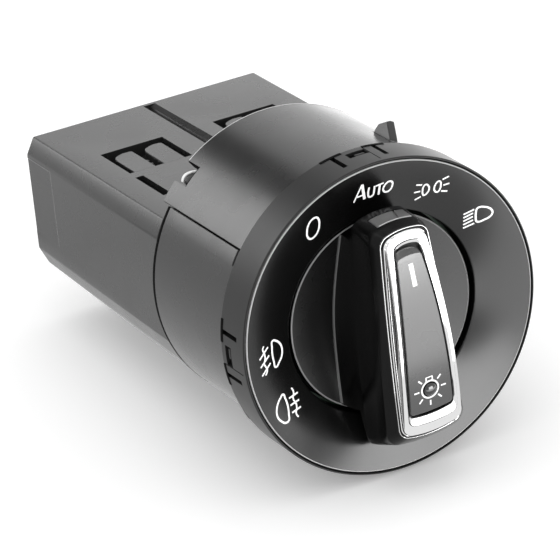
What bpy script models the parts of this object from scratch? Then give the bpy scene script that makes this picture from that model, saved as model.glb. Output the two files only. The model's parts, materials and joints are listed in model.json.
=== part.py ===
"""Rotary lamp switch for a vehicle dashboard, modelled in millimetres and
scaled to metres. The knob faces -Y, the connector end points to +Y, +Z is up.
The origin is on the turning axis, in the plane where the bezel meets the dash.
Run it with: blender --background --python part.py
"""
import math

import bmesh
import bpy
from mathutils import Matrix, Vector

for old in list(bpy.data.objects):
    bpy.data.objects.remove(old, do_unlink=True)

MM = 0.001
GAP = 0.3

# Bezel ring and dished face
BEZEL_R = 40.0
BEZEL_DEPTH = 11.0
BEZEL_WALL = 2.25
BEZEL_BORE_R = BEZEL_R - BEZEL_WALL
BEZEL_RIM = 0.6
FACE_GAP = 0.35
FACE_R = BEZEL_R - BEZEL_RIM - FACE_GAP
FACE_EDGE_Y = -BEZEL_DEPTH
FACE_HOLE_R = 25.6
FACE_HOLE_Y = -7.0
FACE_WALL = 2.0
COLLAR_WALL = 1.2
COLLAR_REAR_Y = -1.6
BEZEL_STEP_Y = FACE_EDGE_Y + 2.9
CUT_PAST = 2.0
FACE_SLOPE = (FACE_EDGE_Y - FACE_HOLE_Y) / (FACE_R - FACE_HOLE_R)

# Light ring behind the symbols
LAMP_ANGLES = (122.5, 92.5, 62.5, 32.5, 181.5, 206.5)
LAMP_Y = -1.6
LAMP_HALF = (1.1, 0.65, 0.9)
GUIDE_R = (FACE_HOLE_R + 2.3, FACE_R - 3.65)
GUIDE_FRONT_Y = (-5.2, -6.6)
GUIDE_REAR_Y = -2.7
LAMP_RING_R = (GUIDE_R[0] + GUIDE_R[1]) / 2 - 0.5
LAMP_BOARD_Y = (-0.6, 0.9)

# Snap fingers in the skirt of the bezel, four in a ring
FINGER_ANGLES = (91.0, 181.0, 271.0, 1.0)
FINGER_LEG_DEG = 8.1
FINGER_LEG_WIDTH = 0.8
FINGER_LEG_LENGTH = 7.6
FINGER_RELIEF_DEG = (4.0, 12.6)
FINGER_RELIEF_DEPTH = 0.6
WINDOW_DEG = 3.7
WINDOW_Y = (-4.6, -1.8)
LUG_R = BEZEL_R - 0.7

# Barrel shells
BARREL_INSET = 2.7
BARREL_R = BEZEL_R - BARREL_INSET
BARREL_WALL = 2.4
BARREL_BORE_R = BARREL_R - BARREL_WALL
BARREL_FRONT_Y = -0.3
UPPER_REAR_Y = 43.2
LOWER_REAR_Y = 39.0
SEAM_DEG = 145.3
SEAM_GAP_DEG = 0.5
STRIP_DEG = 6.4
STRIP_RISE = 0.35
STRIP_Y = (3.4, LOWER_REAR_Y - 1.2)
NOTCH_DEG = (127.0, 134.8)
NOTCH_Y = LOWER_REAR_Y - 1.4

# Rear housing, symmetric half outlines as (x, z)
BOX_FRONT_Y = LOWER_REAR_Y + 0.4
BOX_HOLLOW_FRONT_Y = BOX_FRONT_Y + 1.0
WINDOW_X = (7.3, 24.9)
WINDOW_FRONT_Y = 72.0
WINDOW_LENGTH = 16.4
WINDOW_LONG_Y = (WINDOW_FRONT_Y, WINDOW_FRONT_Y + WINDOW_LENGTH)
BULKHEAD_Y = (WINDOW_LONG_Y[1] + 2.2, WINDOW_LONG_Y[1] + 4.6)
SOCKET_DEPTH = 19.2
BOX_REAR_Y = BULKHEAD_Y[1] + SOCKET_DEPTH
BOX_HALF = 34.6
BOX_TOP = 18.4
BOX_WALL = 2.2
BOX_FRONT_HALF = ((BOX_HALF - 2.4, BOX_TOP), (BOX_HALF, BOX_TOP - 4.6), (BOX_HALF, -13.6),
                  (BOX_HALF - 3.4, -20.4), (BOX_HALF - 8.2, -26.4))
BOX_REAR_HALF = ((BOX_HALF - 2.3, BOX_TOP - 0.3), (BOX_HALF, BOX_TOP - 4.6), (BOX_HALF, -12.0),
                 (BOX_HALF - 2.3, -16.9), (BOX_HALF - 6.6, -21.2))
SPIGOT_R = BARREL_BORE_R - 0.35
SPIGOT_WALL = 2.2
SPIGOT_FRONT_Y = LOWER_REAR_Y - 9.0
SPIGOT_REAR_Y = UPPER_REAR_Y - GAP
SLOT_X = (-WINDOW_X[1] - 0.3, -WINDOW_X[1] + 1.9)
SLOT_LENGTH = 15.0
SLOT_Y = (WINDOW_LONG_Y[0] - 3.4 - SLOT_LENGTH, WINDOW_LONG_Y[0] - 3.4)
ROOF_CUT_Z = (BOX_TOP - 4.4, BOX_TOP + 2.6)
GROOVE_HALF = 1.3
GROOVE_DEPTH = 0.8
GROOVE_FRONT_Y = UPPER_REAR_Y + 1.3
PANEL_Y = (BOX_REAR_Y - 13.6, BOX_REAR_Y - 1.4)
PANEL_Z = (0.2, 11.8)
PANEL_DEPTH = 0.4
SOCKET_HALF_X = BOX_HALF - 6.1
SOCKET_Z = (-14.5, BOX_TOP - 4.9)
PIN_COLUMNS = (-20.0, -10.0, 0.0, 10.0, 20.0)
PIN_ROWS = (4.6, -5.6)
PIN_WIDTH = 2.2
PIN_THICK = 0.8
PIN_Y = (BULKHEAD_Y[0] - 3.0, BULKHEAD_Y[1] + 14.0)
PIN_POINT = 1.6

# Contact carrier behind the windows
CARRIER_HALF_X = BOX_HALF - 5.0
CARRIER_LOW = (-CARRIER_HALF_X, WINDOW_LONG_Y[0] - 10.0, -11.0)
CARRIER_HIGH = (CARRIER_HALF_X, WINDOW_LONG_Y[1] - 1.8, BOX_TOP - BOX_WALL - GAP)
PAD_STARTS = (WINDOW_X[0] + 1.6, WINDOW_X[0] + 10.0)
PAD_WIDTH = 6.1
RIB_X = WINDOW_X[0] + 8.8
RIB_Y = tuple(WINDOW_LONG_Y[0] + 4.0 + 3.5 * k for k in range(3))
RIB_HALF = (0.5, 0.6)

# Front frame and bearing
FRAME_R = BEZEL_BORE_R - 0.35
BEARING_R = 11.0
BEARING_WALL = 2.0
BEARING_REAR_Y = 9.5
FRAME_WEB_Y = (1.2, 3.2)
FRAME_WALL = 1.6
FRAME_STEP_R = FRAME_R - 3.4
FRAME_STEP_Y = -2.4
FRAME_SPIGOT_BORE_R = SPIGOT_R - 2.15
FRAME_SPIGOT_REAR_Y = 9.0
FRAME_COLLAR_Y = (-7.5, -0.6)

# Turning group
KNOB_DEG = 3.1
DISC_R = FACE_HOLE_R - 1.0
DISC_RIM_Y = FACE_HOLE_Y + 0.7
DISC_REAR_Y = -1.3
DISC_DISH = 0.27
HUB_R = 10.6
DISH_FLOOR_Y = DISC_RIM_Y + DISC_DISH * (DISC_R - HUB_R)
HUB_REAR_Y = 6.0
SHAFT_SIDE = 8.4
SHAFT_REAR_Y = 28.0
ROTOR_R = 12.0
ROTOR_Y = (10.5, 33.0)
STAR_R = 15.4
STAR_LOBE = 0.6
STAR_TEETH = 12
STAR_Y = (12.2, 17.8)
STUB_R = 5.5
WIPER_DISC_R = 25.5
WIPER_DISC_Y = (28.4, 30.8)
WIPERS = ((WIPER_DISC_R - 10.1, 70.0), (WIPER_DISC_R - 6.1, 190.0), (WIPER_DISC_R - 2.1, 310.0))
MID_FRAME_Y = (23.5, 25.5)
BOARD_Y = (34.0, 35.6)

# Grip: half width along the bar is h0 + h1*z + h2*z*z
GRIP_LIP_Y = -23.4
CREST_Y = -26.9
CREST_ARCH = 0.0039
CREST_HALF = (7.0, -0.053, -0.0007)
LIP_HALF = (7.95, -0.044, -0.0005)
BEVEL_HALF = (5.55, -0.0575, -0.0006)
OPENING_HALF = (5.2, -0.0575, -0.0006)
PLATEAU_HALF = (3.9, -0.053, -0.0002)
RECESS_R = DISC_R - 0.3
FOOT_HALF = (10.95, -0.15)
RECESS_SECTIONS = (
    (-7.4, (10.7, -0.135), RECESS_R),
    (-9.0, (10.4, -0.115), RECESS_R - 0.1),
    (-10.4, (10.15, -0.10), RECESS_R - 0.4),
)
GRIP_SECTIONS = (
    (-11.2, (10.05, -0.08, -0.0012), 27.6, -29.4, 2.8),
    (-11.8, (10.0, -0.08, -0.0012), 28.6, -30.3, 3.0),
    (-14.0, (9.75, -0.074, -0.0009), 28.6, -30.1, 3.2),
    (-17.0, (9.5, -0.067, -0.0005), 28.4, -29.8, 3.4),
    (-20.4, (9.25, -0.06, -0.0002), 28.1, -29.4, 3.6),
    (-22.0, (8.5, -0.052, -0.0004), 27.9, -27.8, 3.3),
    (GRIP_LIP_Y + GAP, LIP_HALF, 27.75, -26.35, 3.1),
)
LENS_HALF = 4.8
LENS_Y = (-19.2, -15.2)
LENS_Z = (26.4, 28.5)
DOME_Z = -13.9
DOME_R = 1.7

# Dash latch and detent
LATCH_DEG = 60.6
LATCH_THICK = 2.4
LATCH_Y = (13.3, 21.0)
LATCH_TOP_R = BARREL_R + 4.2
LATCH_SHOULDER_R = BARREL_R + 0.8
LATCH_SPRING_R = STAR_R + 4.6
LATCH_FOOT_R = LATCH_SPRING_R + 6.0
LATCH_GAP = 0.35
DETENT_DEG = 240.0
DETENT_TIP_R = STAR_R + 1.0
DETENT_TAIL_R = DETENT_TIP_R + 4.8
DETENT_SEAT_R = DETENT_TAIL_R + 4.6
DETENT_Y = (STAR_Y[0] + STAR_Y[1]) / 2
PLUNGER_R = 2.2
DETENT_BLOCK_HALF = 4.4
DETENT_BLOCK_R = (STAR_R + STAR_LOBE + 2.4, DETENT_SEAT_R + 1.8)


def plastic(name, grey, roughness, metallic=0.0, tint=(1.0, 1.0, 1.0)):
    material = bpy.data.materials.new(name)
    material.use_nodes = True
    shader = material.node_tree.nodes["Principled BSDF"]
    colour = tuple(grey * t for t in tint) + (1.0,)
    shader.inputs["Base Color"].default_value = colour
    shader.inputs["Roughness"].default_value = roughness
    shader.inputs["Metallic"].default_value = metallic
    material.diffuse_color = colour
    return material


SATIN_BLACK = plastic("satin_black_face", 0.012, 0.38)
BEZEL_GREY = plastic("bezel_plastic", 0.085, 0.45)
HOUSING_GREY = plastic("housing_plastic", 0.14, 0.5)
GLOSS_BLACK = plastic("gloss_black", 0.006, 0.12)
INSERT_GLOSS = plastic("insert_gloss", 0.16, 0.15)
CHROME = plastic("chrome_plate", 0.8, 0.06, 1.0)
CLEAR = plastic("clear_lens", 0.6, 0.05)
INNER_BLACK = plastic("inner_black", 0.02, 0.6)
BOARD_GREEN = plastic("board_green", 0.08, 0.5, 0.0, (0.35, 1.0, 0.5))
LAMP_WHITE = plastic("lamp_white", 0.7, 0.4)
TIN = plastic("tinned_terminal", 0.6, 0.3, 1.0)
BRASS = plastic("contact_brass", 0.6, 0.3, 1.0, (1.0, 0.75, 0.35))
SPRING_STEEL = plastic("spring_steel", 0.5, 0.3, 1.0)


def polar(radius, y, degrees):
    angle = math.radians(degrees)
    return Vector((radius * math.cos(angle), y, radius * math.sin(angle)))


def finish(name, mesh_builder, material, matrix=None, parent=None, cutter=False):
    """Turn a bmesh in millimetres into a named object in metres."""
    bmesh.ops.recalc_face_normals(mesh_builder, faces=mesh_builder.faces)
    bmesh.ops.scale(mesh_builder, vec=(MM, MM, MM), verts=mesh_builder.verts)
    mesh = bpy.data.meshes.new(name)
    mesh_builder.to_mesh(mesh)
    mesh_builder.free()
    item = bpy.data.objects.new(name, mesh)
    bpy.context.collection.objects.link(item)
    if cutter:
        item.hide_render = True
        item.display_type = "WIRE"
    else:
        mesh.materials.append(material)
    if matrix is not None:
        item.matrix_world = matrix
    if parent is not None:
        item.parent = parent
    return item


def add_loft(bm, loops, around=False):
    """Skin equal loops of points, capped at both ends unless it closes on itself."""
    rings = [[bm.verts.new(p) for p in loop] for loop in loops]
    count = len(rings[0])
    pairs = list(zip(rings[:-1], rings[1:]))
    if around:
        pairs.append((rings[-1], rings[0]))
    for lower, upper in pairs:
        for i in range(count):
            j = (i + 1) % count
            bm.faces.new((lower[i], lower[j], upper[j], upper[i]))
    if not around:
        bm.faces.new(rings[0])
        bm.faces.new(rings[-1])


def lathe(profile, segments, solid=False):
    """Spin (radius, y) points round Y; a solid profile starts and ends on the axis."""
    bm = bmesh.new()
    verts = [bm.verts.new((r, y, 0.0)) for r, y in profile]
    ends = zip(verts[:-1], verts[1:])
    edges = [bm.edges.new(pair) for pair in ends]
    if not solid:
        edges.append(bm.edges.new((verts[-1], verts[0])))
    bmesh.ops.spin(bm, geom=verts + edges, cent=(0, 0, 0), axis=(0, 1, 0), dvec=(0, 0, 0),
                   angle=math.tau, steps=segments, use_duplicate=False)
    bmesh.ops.remove_doubles(bm, verts=bm.verts, dist=1e-4)
    return bm


def add_box(bm, low, high, matrix=None):
    result = bmesh.ops.create_cube(bm, size=1.0)
    size = [b - a for a, b in zip(low, high)]
    middle = [(a + b) / 2 for a, b in zip(low, high)]
    transform = Matrix.Translation(middle) @ Matrix.Diagonal((*size, 1.0))
    if matrix is not None:
        transform = matrix @ transform
    bmesh.ops.transform(bm, matrix=transform, verts=result["verts"])


def box_mesh(low, high, matrix=None):
    bm = bmesh.new()
    add_box(bm, low, high, matrix)
    return bm


def add_cylinder(bm, radius, low, high, segments, matrix):
    """A round bar along the local Z of the matrix."""
    place = matrix @ Matrix.Translation((0, 0, (low + high) / 2))
    bmesh.ops.create_cone(bm, cap_ends=True, segments=segments, radius1=radius, radius2=radius,
                          depth=high - low, matrix=place)


def add_arc_block(bm, radii, ys, degrees, steps):
    """A block that follows the barrel between two angles."""
    loops = []
    for k in range(steps + 1):
        angle = degrees[0] + (degrees[1] - degrees[0]) * k / steps
        loops.append([polar(radii[0], ys[0], angle), polar(radii[1], ys[0], angle),
                      polar(radii[1], ys[1], angle), polar(radii[0], ys[1], angle)])
    add_loft(bm, loops)


def modify(target, operation, tool):
    modifier = target.modifiers.new(operation.lower() + "_" + tool.name, "BOOLEAN")
    modifier.operation = operation
    modifier.object = tool
    modifier.solver = "EXACT"


def radial_frame(degrees, y):
    """Local Z points outward along the radius, local Y stays along the switch."""
    angle = math.radians(degrees)
    outward = Vector((math.cos(angle), 0, math.sin(angle)))
    along = Vector((0, 1, 0))
    side = along.cross(outward)
    rotation = Matrix((side, along, outward)).transposed().to_4x4()
    return Matrix.Translation((0, y, 0)) @ rotation


def to_metres(matrix):
    result = matrix.copy()
    result.translation = matrix.translation * MM
    return result


def empty(name, matrix, parent=None):
    item = bpy.data.objects.new(name, None)
    bpy.context.collection.objects.link(item)
    item.matrix_world = matrix
    item.parent = parent
    return item


# Bezel ring with four snap fingers
bezel_profile = ((BEZEL_R, 0.0), (BEZEL_R, -BEZEL_DEPTH + 0.35), (BEZEL_R - 0.25, -BEZEL_DEPTH),
                 (FACE_R + FACE_GAP, -BEZEL_DEPTH), (FACE_R + FACE_GAP, BEZEL_STEP_Y),
                 (BEZEL_BORE_R, BEZEL_STEP_Y),
                 (BEZEL_BORE_R, 0.0))
bezel = finish("bezel_ring", lathe(bezel_profile, 96), BEZEL_GREY)
finger_cut = bmesh.new()
for centre in FINGER_ANGLES:
    for side in (-1, 1):
        leg = radial_frame(centre + side * FINGER_LEG_DEG, 0.0)
        half = FINGER_LEG_WIDTH / 2
        relief = [math.radians(d - FINGER_LEG_DEG) * BEZEL_R * side for d in FINGER_RELIEF_DEG]
        left, right = sorted(relief)
        outline = ((left, 0.5), (left, -FINGER_RELIEF_DEPTH), (-half, -FINGER_RELIEF_DEPTH),
                   (-half, -FINGER_LEG_LENGTH), (half, -FINGER_LEG_LENGTH),
                   (half, -FINGER_RELIEF_DEPTH), (right, -FINGER_RELIEF_DEPTH), (right, 0.5))
        loops = [[leg @ Vector((-x, y, z)) for x, y in outline]
                 for z in (BEZEL_BORE_R - CUT_PAST, BEZEL_R + CUT_PAST)]
        add_loft(finger_cut, loops)
    add_arc_block(finger_cut, (BEZEL_BORE_R - CUT_PAST, BEZEL_R + CUT_PAST), WINDOW_Y,
                  (centre - WINDOW_DEG, centre + WINDOW_DEG), 2)
modify(bezel, "DIFFERENCE", finish("cut_bezel_fingers", finger_cut, None, cutter=True))

# Dished face plate with the collar that lines the knob recess
under = FACE_HOLE_Y + FACE_WALL
face_profile = ((FACE_R, FACE_EDGE_Y + 2.1), (FACE_R, FACE_EDGE_Y + 0.25), (FACE_R - 0.3, FACE_EDGE_Y),
                (FACE_HOLE_R + 0.45, FACE_HOLE_Y - 0.1), (FACE_HOLE_R, FACE_HOLE_Y + 0.3),
                (FACE_HOLE_R, COLLAR_REAR_Y), (FACE_HOLE_R + COLLAR_WALL, COLLAR_REAR_Y),
                (FACE_HOLE_R + COLLAR_WALL, under + FACE_SLOPE * COLLAR_WALL))
finish("face_plate", lathe(face_profile, 84), SATIN_BLACK)

# Clear ring that carries light to the symbols, its board and its lamps
guide_profile = ((GUIDE_R[0], GUIDE_FRONT_Y[0]), (GUIDE_R[1], GUIDE_FRONT_Y[1]), (GUIDE_R[1], GUIDE_REAR_Y),
                 (GUIDE_R[0], GUIDE_REAR_Y))
finish("light_guide", lathe(guide_profile, 48), CLEAR)
board_r = (DISC_R + 0.6, FRAME_STEP_R - 0.4)
board_profile = ((board_r[0], LAMP_BOARD_Y[0]), (board_r[1], LAMP_BOARD_Y[0]), (board_r[1], LAMP_BOARD_Y[1]),
                 (board_r[0], LAMP_BOARD_Y[1]))
finish("lamp_board", lathe(board_profile, 48), BOARD_GREEN)
for number, angle in enumerate(LAMP_ANGLES, start=1):
    lamp = box_mesh([-h for h in LAMP_HALF], LAMP_HALF)
    frame = radial_frame(angle, LAMP_Y)
    frame.translation = polar(LAMP_RING_R, LAMP_Y, angle)
    finish("lamp_%d" % number, lamp, LAMP_WHITE, to_metres(frame))

# Front frame: collar with snap lugs, spigot for the barrel and knob bearing
frame_profile = ((BEARING_R, FRAME_WEB_Y[0]), (BEARING_R, BEARING_REAR_Y),
                 (BEARING_R + BEARING_WALL, BEARING_REAR_Y), (BEARING_R + BEARING_WALL, FRAME_WEB_Y[1]),
                 (FRAME_SPIGOT_BORE_R, FRAME_WEB_Y[1]), (FRAME_SPIGOT_BORE_R, FRAME_SPIGOT_REAR_Y),
                 (SPIGOT_R, FRAME_SPIGOT_REAR_Y), (SPIGOT_R, FRAME_COLLAR_Y[1]),
                 (FRAME_R, FRAME_COLLAR_Y[1]), (FRAME_R, FRAME_COLLAR_Y[0]),
                 (FRAME_R - FRAME_WALL, FRAME_COLLAR_Y[0]), (FRAME_R - FRAME_WALL, FRAME_STEP_Y),
                 (FRAME_STEP_R, FRAME_STEP_Y), (FRAME_STEP_R, FRAME_WEB_Y[0]))
front_frame = finish("front_frame", lathe(frame_profile, 64), INNER_BLACK)
lugs = bmesh.new()
for centre in FINGER_ANGLES:
    lug_deg = WINDOW_DEG - 0.6
    add_arc_block(lugs, (FRAME_R - 0.9, LUG_R), (WINDOW_Y[0] + 0.3, WINDOW_Y[1] - 0.3),
                  (centre - lug_deg, centre + lug_deg), 2)
modify(front_frame, "UNION", finish("join_snap_lugs", lugs, None, cutter=True))

# Barrel shells, split along a seam on each side
upper = bmesh.new()
add_arc_block(upper, (BARREL_BORE_R, BARREL_R), (BARREL_FRONT_Y, UPPER_REAR_Y),
              (180.0 - SEAM_DEG, SEAM_DEG), 30)
barrel_upper = finish("barrel_upper", upper, HOUSING_GREY)
upper_cut = bmesh.new()
cut_r = (BARREL_BORE_R - CUT_PAST, BARREL_R + CUT_PAST)
add_arc_block(upper_cut, cut_r, (NOTCH_Y, UPPER_REAR_Y + CUT_PAST), NOTCH_DEG, 3)
latch_frame = radial_frame(LATCH_DEG, 0.0)
half_slot = LATCH_THICK / 2 + LATCH_GAP
add_box(upper_cut, (-half_slot, LATCH_Y[0] - LATCH_GAP, cut_r[0]),
        (half_slot, LATCH_Y[1] + LATCH_GAP, cut_r[1]), latch_frame)
modify(barrel_upper, "DIFFERENCE", finish("cut_barrel_upper", upper_cut, None, cutter=True))

lower = bmesh.new()
first = SEAM_DEG + SEAM_GAP_DEG
last = 360.0 + 180.0 - first
strip_angles = [first, first + STRIP_DEG / 2, first + STRIP_DEG]
plain_start = first + STRIP_DEG + 0.5
plain_angles = [plain_start + (last - STRIP_DEG - 0.5 - plain_start) * k / 44 for k in range(45)]
mirrored = [last - (a - first) for a in reversed(strip_angles)]
loops = []
for angle in strip_angles + plain_angles + mirrored:
    raised = angle <= strip_angles[-1] or angle >= mirrored[0]
    outer = BARREL_R + (STRIP_RISE if raised else 0.0)
    loops.append([polar(BARREL_BORE_R, BARREL_FRONT_Y, angle), polar(BARREL_R, BARREL_FRONT_Y, angle),
                  polar(BARREL_R, STRIP_Y[0], angle), polar(outer, STRIP_Y[0] + 0.4, angle),
                  polar(outer, STRIP_Y[1] - 0.4, angle), polar(BARREL_R, STRIP_Y[1], angle),
                  polar(BARREL_R, LOWER_REAR_Y, angle),
                  polar(BARREL_BORE_R, LOWER_REAR_Y, angle)])
add_loft(lower, loops)
finish("barrel_lower", lower, HOUSING_GREY)

# Hook of the rear housing that shows in the notch of the upper shell
hook = bmesh.new()
hook_loops = []
for k in range(7):
    t = k / 6
    angle = NOTCH_DEG[0] + 0.6 + (NOTCH_DEG[1] - NOTCH_DEG[0] - 1.2) * t
    bow = 1.0 - (2 * t - 1) ** 2
    rear = UPPER_REAR_Y - 1.6 + 1.5 * bow
    front = NOTCH_Y + 0.4
    hook_loops.append([polar(BARREL_BORE_R, front, angle), polar(BARREL_R - 0.9, front, angle),
                       polar(BARREL_R - 0.5, rear - 0.9, angle), polar(BARREL_R - 0.1, rear - 0.5, angle),
                       polar(BARREL_R - 0.1, rear, angle), polar(BARREL_BORE_R, rear, angle)])
add_loft(hook, hook_loops)
finish("side_hook", hook, HOUSING_GREY)


# Rear housing: a tapered case on a round spigot, open at the connector end
def box_loop(half_outline, y, wall=0.0):
    right = [Vector((x - wall, y, z - math.copysign(wall, z))) for x, z in half_outline]
    left = [Vector((-p.x, y, p.z)) for p in reversed(right)]
    return right + left


case = bmesh.new()
add_loft(case, [box_loop(BOX_FRONT_HALF, BOX_FRONT_Y), box_loop(BOX_REAR_HALF, BOX_REAR_Y)])
rear_housing = finish("rear_housing", case, HOUSING_GREY)
spigot = lathe(((0.0, SPIGOT_FRONT_Y), (SPIGOT_R, SPIGOT_FRONT_Y), (SPIGOT_R, SPIGOT_REAR_Y),
                (0.0, SPIGOT_REAR_Y)), 60, solid=True)
modify(rear_housing, "UNION", finish("join_spigot", spigot, None, cutter=True))
bore_r = SPIGOT_R - SPIGOT_WALL
bore_rear_y = SPIGOT_REAR_Y - 1.9
bore = lathe(((0.0, SPIGOT_FRONT_Y - CUT_PAST), (bore_r, SPIGOT_FRONT_Y - CUT_PAST), (bore_r, bore_rear_y),
              (0.0, bore_rear_y)), 60, solid=True)
modify(rear_housing, "DIFFERENCE", finish("cut_spigot_bore", bore, None, cutter=True))
hollow = bmesh.new()
add_loft(hollow, [box_loop(BOX_FRONT_HALF, BOX_HOLLOW_FRONT_Y, BOX_WALL),
                  box_loop(BOX_REAR_HALF, BULKHEAD_Y[0], BOX_WALL)])
modify(rear_housing, "DIFFERENCE", finish("cut_case_hollow", hollow, None, cutter=True))
openings = bmesh.new()
past_rear = BOX_REAR_Y + 3.0
add_box(openings, (-SOCKET_HALF_X, BULKHEAD_Y[1], SOCKET_Z[0]), (SOCKET_HALF_X, past_rear, SOCKET_Z[1]))
for side in (-1, 1):
    near, far = sorted((side * WINDOW_X[0], side * WINDOW_X[1]))
    add_box(openings, (near, WINDOW_LONG_Y[0], ROOF_CUT_Z[0]), (far, WINDOW_LONG_Y[1], ROOF_CUT_Z[1]))
add_box(openings, (SLOT_X[0], SLOT_Y[0], ROOF_CUT_Z[0]), (SLOT_X[1], SLOT_Y[1], ROOF_CUT_Z[1]))
panel_x = PANEL_DEPTH - BOX_HALF
add_box(openings, (-BOX_HALF - 1.0, PANEL_Y[0], PANEL_Z[0]), (panel_x, PANEL_Y[1], PANEL_Z[1]))
groove_half = ((GROOVE_HALF - GROOVE_DEPTH, BOX_TOP - GROOVE_DEPTH), (GROOVE_HALF, BOX_TOP - 0.05),
               (GROOVE_HALF, ROOF_CUT_Z[1]))
add_loft(openings, [box_loop(groove_half, y) for y in (GROOVE_FRONT_Y, past_rear)])
modify(rear_housing, "DIFFERENCE", finish("cut_case_openings", openings, None, cutter=True))
sockets = bmesh.new()
for x in PIN_COLUMNS:
    for z in PIN_ROWS:
        add_box(sockets, (x - PIN_WIDTH / 2 - GAP, BULKHEAD_Y[0] - 1.0, z - PIN_THICK / 2 - GAP),
                (x + PIN_WIDTH / 2 + GAP, BULKHEAD_Y[1] + 1.0, z + PIN_THICK / 2 + GAP))
modify(rear_housing, "DIFFERENCE", finish("cut_pin_slots", sockets, None, cutter=True))

# Terminals of the connector
number = 0
for z in PIN_ROWS:
    for x in PIN_COLUMNS:
        number += 1
        w = PIN_WIDTH / 2
        t = PIN_THICK / 2
        tip = PIN_Y[1]
        sections = ((PIN_Y[0], w, t), (tip - PIN_POINT, w, t), (tip, w * 0.55, t * 0.4))
        pin = bmesh.new()
        add_loft(pin, [[Vector((x - a, y, z - b)), Vector((x + a, y, z - b)),
                        Vector((x + a, y, z + b)), Vector((x - a, y, z + b))] for y, a, b in sections])
        finish("terminal_%02d" % number, pin, TIN)

# Contact carrier: its raised pads stand in the two windows of the case
carrier = finish("contact_carrier", box_mesh(CARRIER_LOW, CARRIER_HIGH), INNER_BLACK)
pads = bmesh.new()
pad_foot = CARRIER_HIGH[2] - 1.3
for side in (-1, 1):
    for start in PAD_STARTS:
        near = side * start if side > 0 else side * (start + PAD_WIDTH)
        far = near + PAD_WIDTH
        front, rear = WINDOW_LONG_Y[0] + 0.5, WINDOW_LONG_Y[1] - 2.4
        outline = [(near, front), (far, front), (far, rear - 0.4), (far - 2.6, rear),
                   (near + 2.2, rear - 0.5), (near + 0.6, rear - 1.7), (near, rear - 3.4)]
        add_loft(pads, [[Vector((x, y, z)) for x, y in outline] for z in (pad_foot, BOX_TOP - FACE_GAP)])
    for y in RIB_Y:
        add_box(pads, (side * RIB_X - RIB_HALF[0], y - RIB_HALF[1], pad_foot),
                (side * RIB_X + RIB_HALF[0], y + RIB_HALF[1], BOX_TOP - 1.2))
modify(carrier, "UNION", finish("join_carrier_pads", pads, None, cutter=True))

# Plate that carries the rotor, the latch guide and the detent block
mid_profile = ((ROTOR_R + 0.5, MID_FRAME_Y[0]), (SPIGOT_R, MID_FRAME_Y[0]), (SPIGOT_R, MID_FRAME_Y[1]),
               (ROTOR_R + 0.5, MID_FRAME_Y[1]))
finish("mid_frame", lathe(mid_profile, 60), INNER_BLACK)

# Contact board behind the rotor
contact_profile = ((STUB_R + 0.5, BOARD_Y[0]), (bore_r - 0.3, BOARD_Y[0]), (bore_r - 0.3, BOARD_Y[1]),
                   (STUB_R + 0.5, BOARD_Y[1]))
finish("contact_board", lathe(contact_profile, 48), BOARD_GREEN)

# Rotor: a sleeve with a detent star, square inside for the knob shaft
turn = Matrix.Rotation(math.radians(-KNOB_DEG), 4, "Y")
rotor_axis = empty("rotor_axis", turn)
rotor_profile = ((0.0, ROTOR_Y[0]), (ROTOR_R, ROTOR_Y[0]), (ROTOR_R, ROTOR_Y[1]), (STUB_R, ROTOR_Y[1]),
                 (STUB_R, ROTOR_Y[1] + 4.0), (0.0, ROTOR_Y[1] + 4.0))
rotor = finish("rotor", lathe(rotor_profile, 36, solid=True), INNER_BLACK, parent=rotor_axis)
star = bmesh.new()
star_points = [(STAR_R + STAR_LOBE * math.cos(math.radians(STAR_TEETH * a)), a) for a in range(0, 360, 5)]
add_loft(star, [[polar(r, y, a) for r, a in star_points] for y in STAR_Y])
star_object = finish("join_detent_star", star, None, parent=rotor_axis, cutter=True)
modify(rotor, "UNION", star_object)
side = SHAFT_SIDE / 2 + GAP
square_y = (ROTOR_Y[0] - CUT_PAST, ROTOR_Y[1] - 2.0)
square = finish("cut_square_bore", box_mesh((-side, square_y[0], -side), (side, square_y[1], side)), None,
                parent=rotor_axis, cutter=True)
modify(rotor, "DIFFERENCE", square)

# Wiper disc and its leaf contacts
wiper_profile = ((ROTOR_R + GAP, WIPER_DISC_Y[0]), (WIPER_DISC_R, WIPER_DISC_Y[0]),
                 (WIPER_DISC_R, WIPER_DISC_Y[1]), (ROTOR_R + GAP, WIPER_DISC_Y[1]))
finish("wiper_disc", lathe(wiper_profile, 40), INNER_BLACK, parent=rotor_axis)
for number, (radius, angle) in enumerate(WIPERS, start=1):
    leaf = bmesh.new()
    rise = ((-9.0, 31.1), (-4.0, 31.1), (4.0, 33.2), (6.0, 33.2), (8.0, 32.4))
    leaf_loops = []
    for swing, y in rise:
        centre = angle + math.degrees(swing / radius)
        leaf_loops.append([polar(radius - 1.1, y, centre), polar(radius + 1.1, y, centre),
                           polar(radius + 1.1, y + 0.35, centre), polar(radius - 1.1, y + 0.35, centre)])
    add_loft(leaf, leaf_loops)
    finish("wiper_%d" % number, leaf, BRASS, parent=rotor_axis)

# Knob: shaft, disc with hub, grip, bright frame, insert, indicator and tip lens
knob_axis = empty("knob_axis", turn)
half_shaft = SHAFT_SIDE / 2
shaft = box_mesh((-half_shaft, HUB_REAR_Y + GAP, -half_shaft), (half_shaft, SHAFT_REAR_Y, half_shaft))
finish("knob_shaft", shaft, INNER_BLACK, parent=knob_axis)
disc_profile = ((0.0, DISH_FLOOR_Y), (HUB_R, DISH_FLOOR_Y), (DISC_R - 0.3, DISC_RIM_Y + 0.3 * DISC_DISH),
                (DISC_R, DISC_RIM_Y + 0.3), (DISC_R, DISC_REAR_Y), (HUB_R, DISC_REAR_Y),
                (HUB_R, HUB_REAR_Y), (0.0, HUB_REAR_Y))
finish("knob_disc", lathe(disc_profile, 72, solid=True), GLOSS_BLACK, parent=knob_axis)


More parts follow.
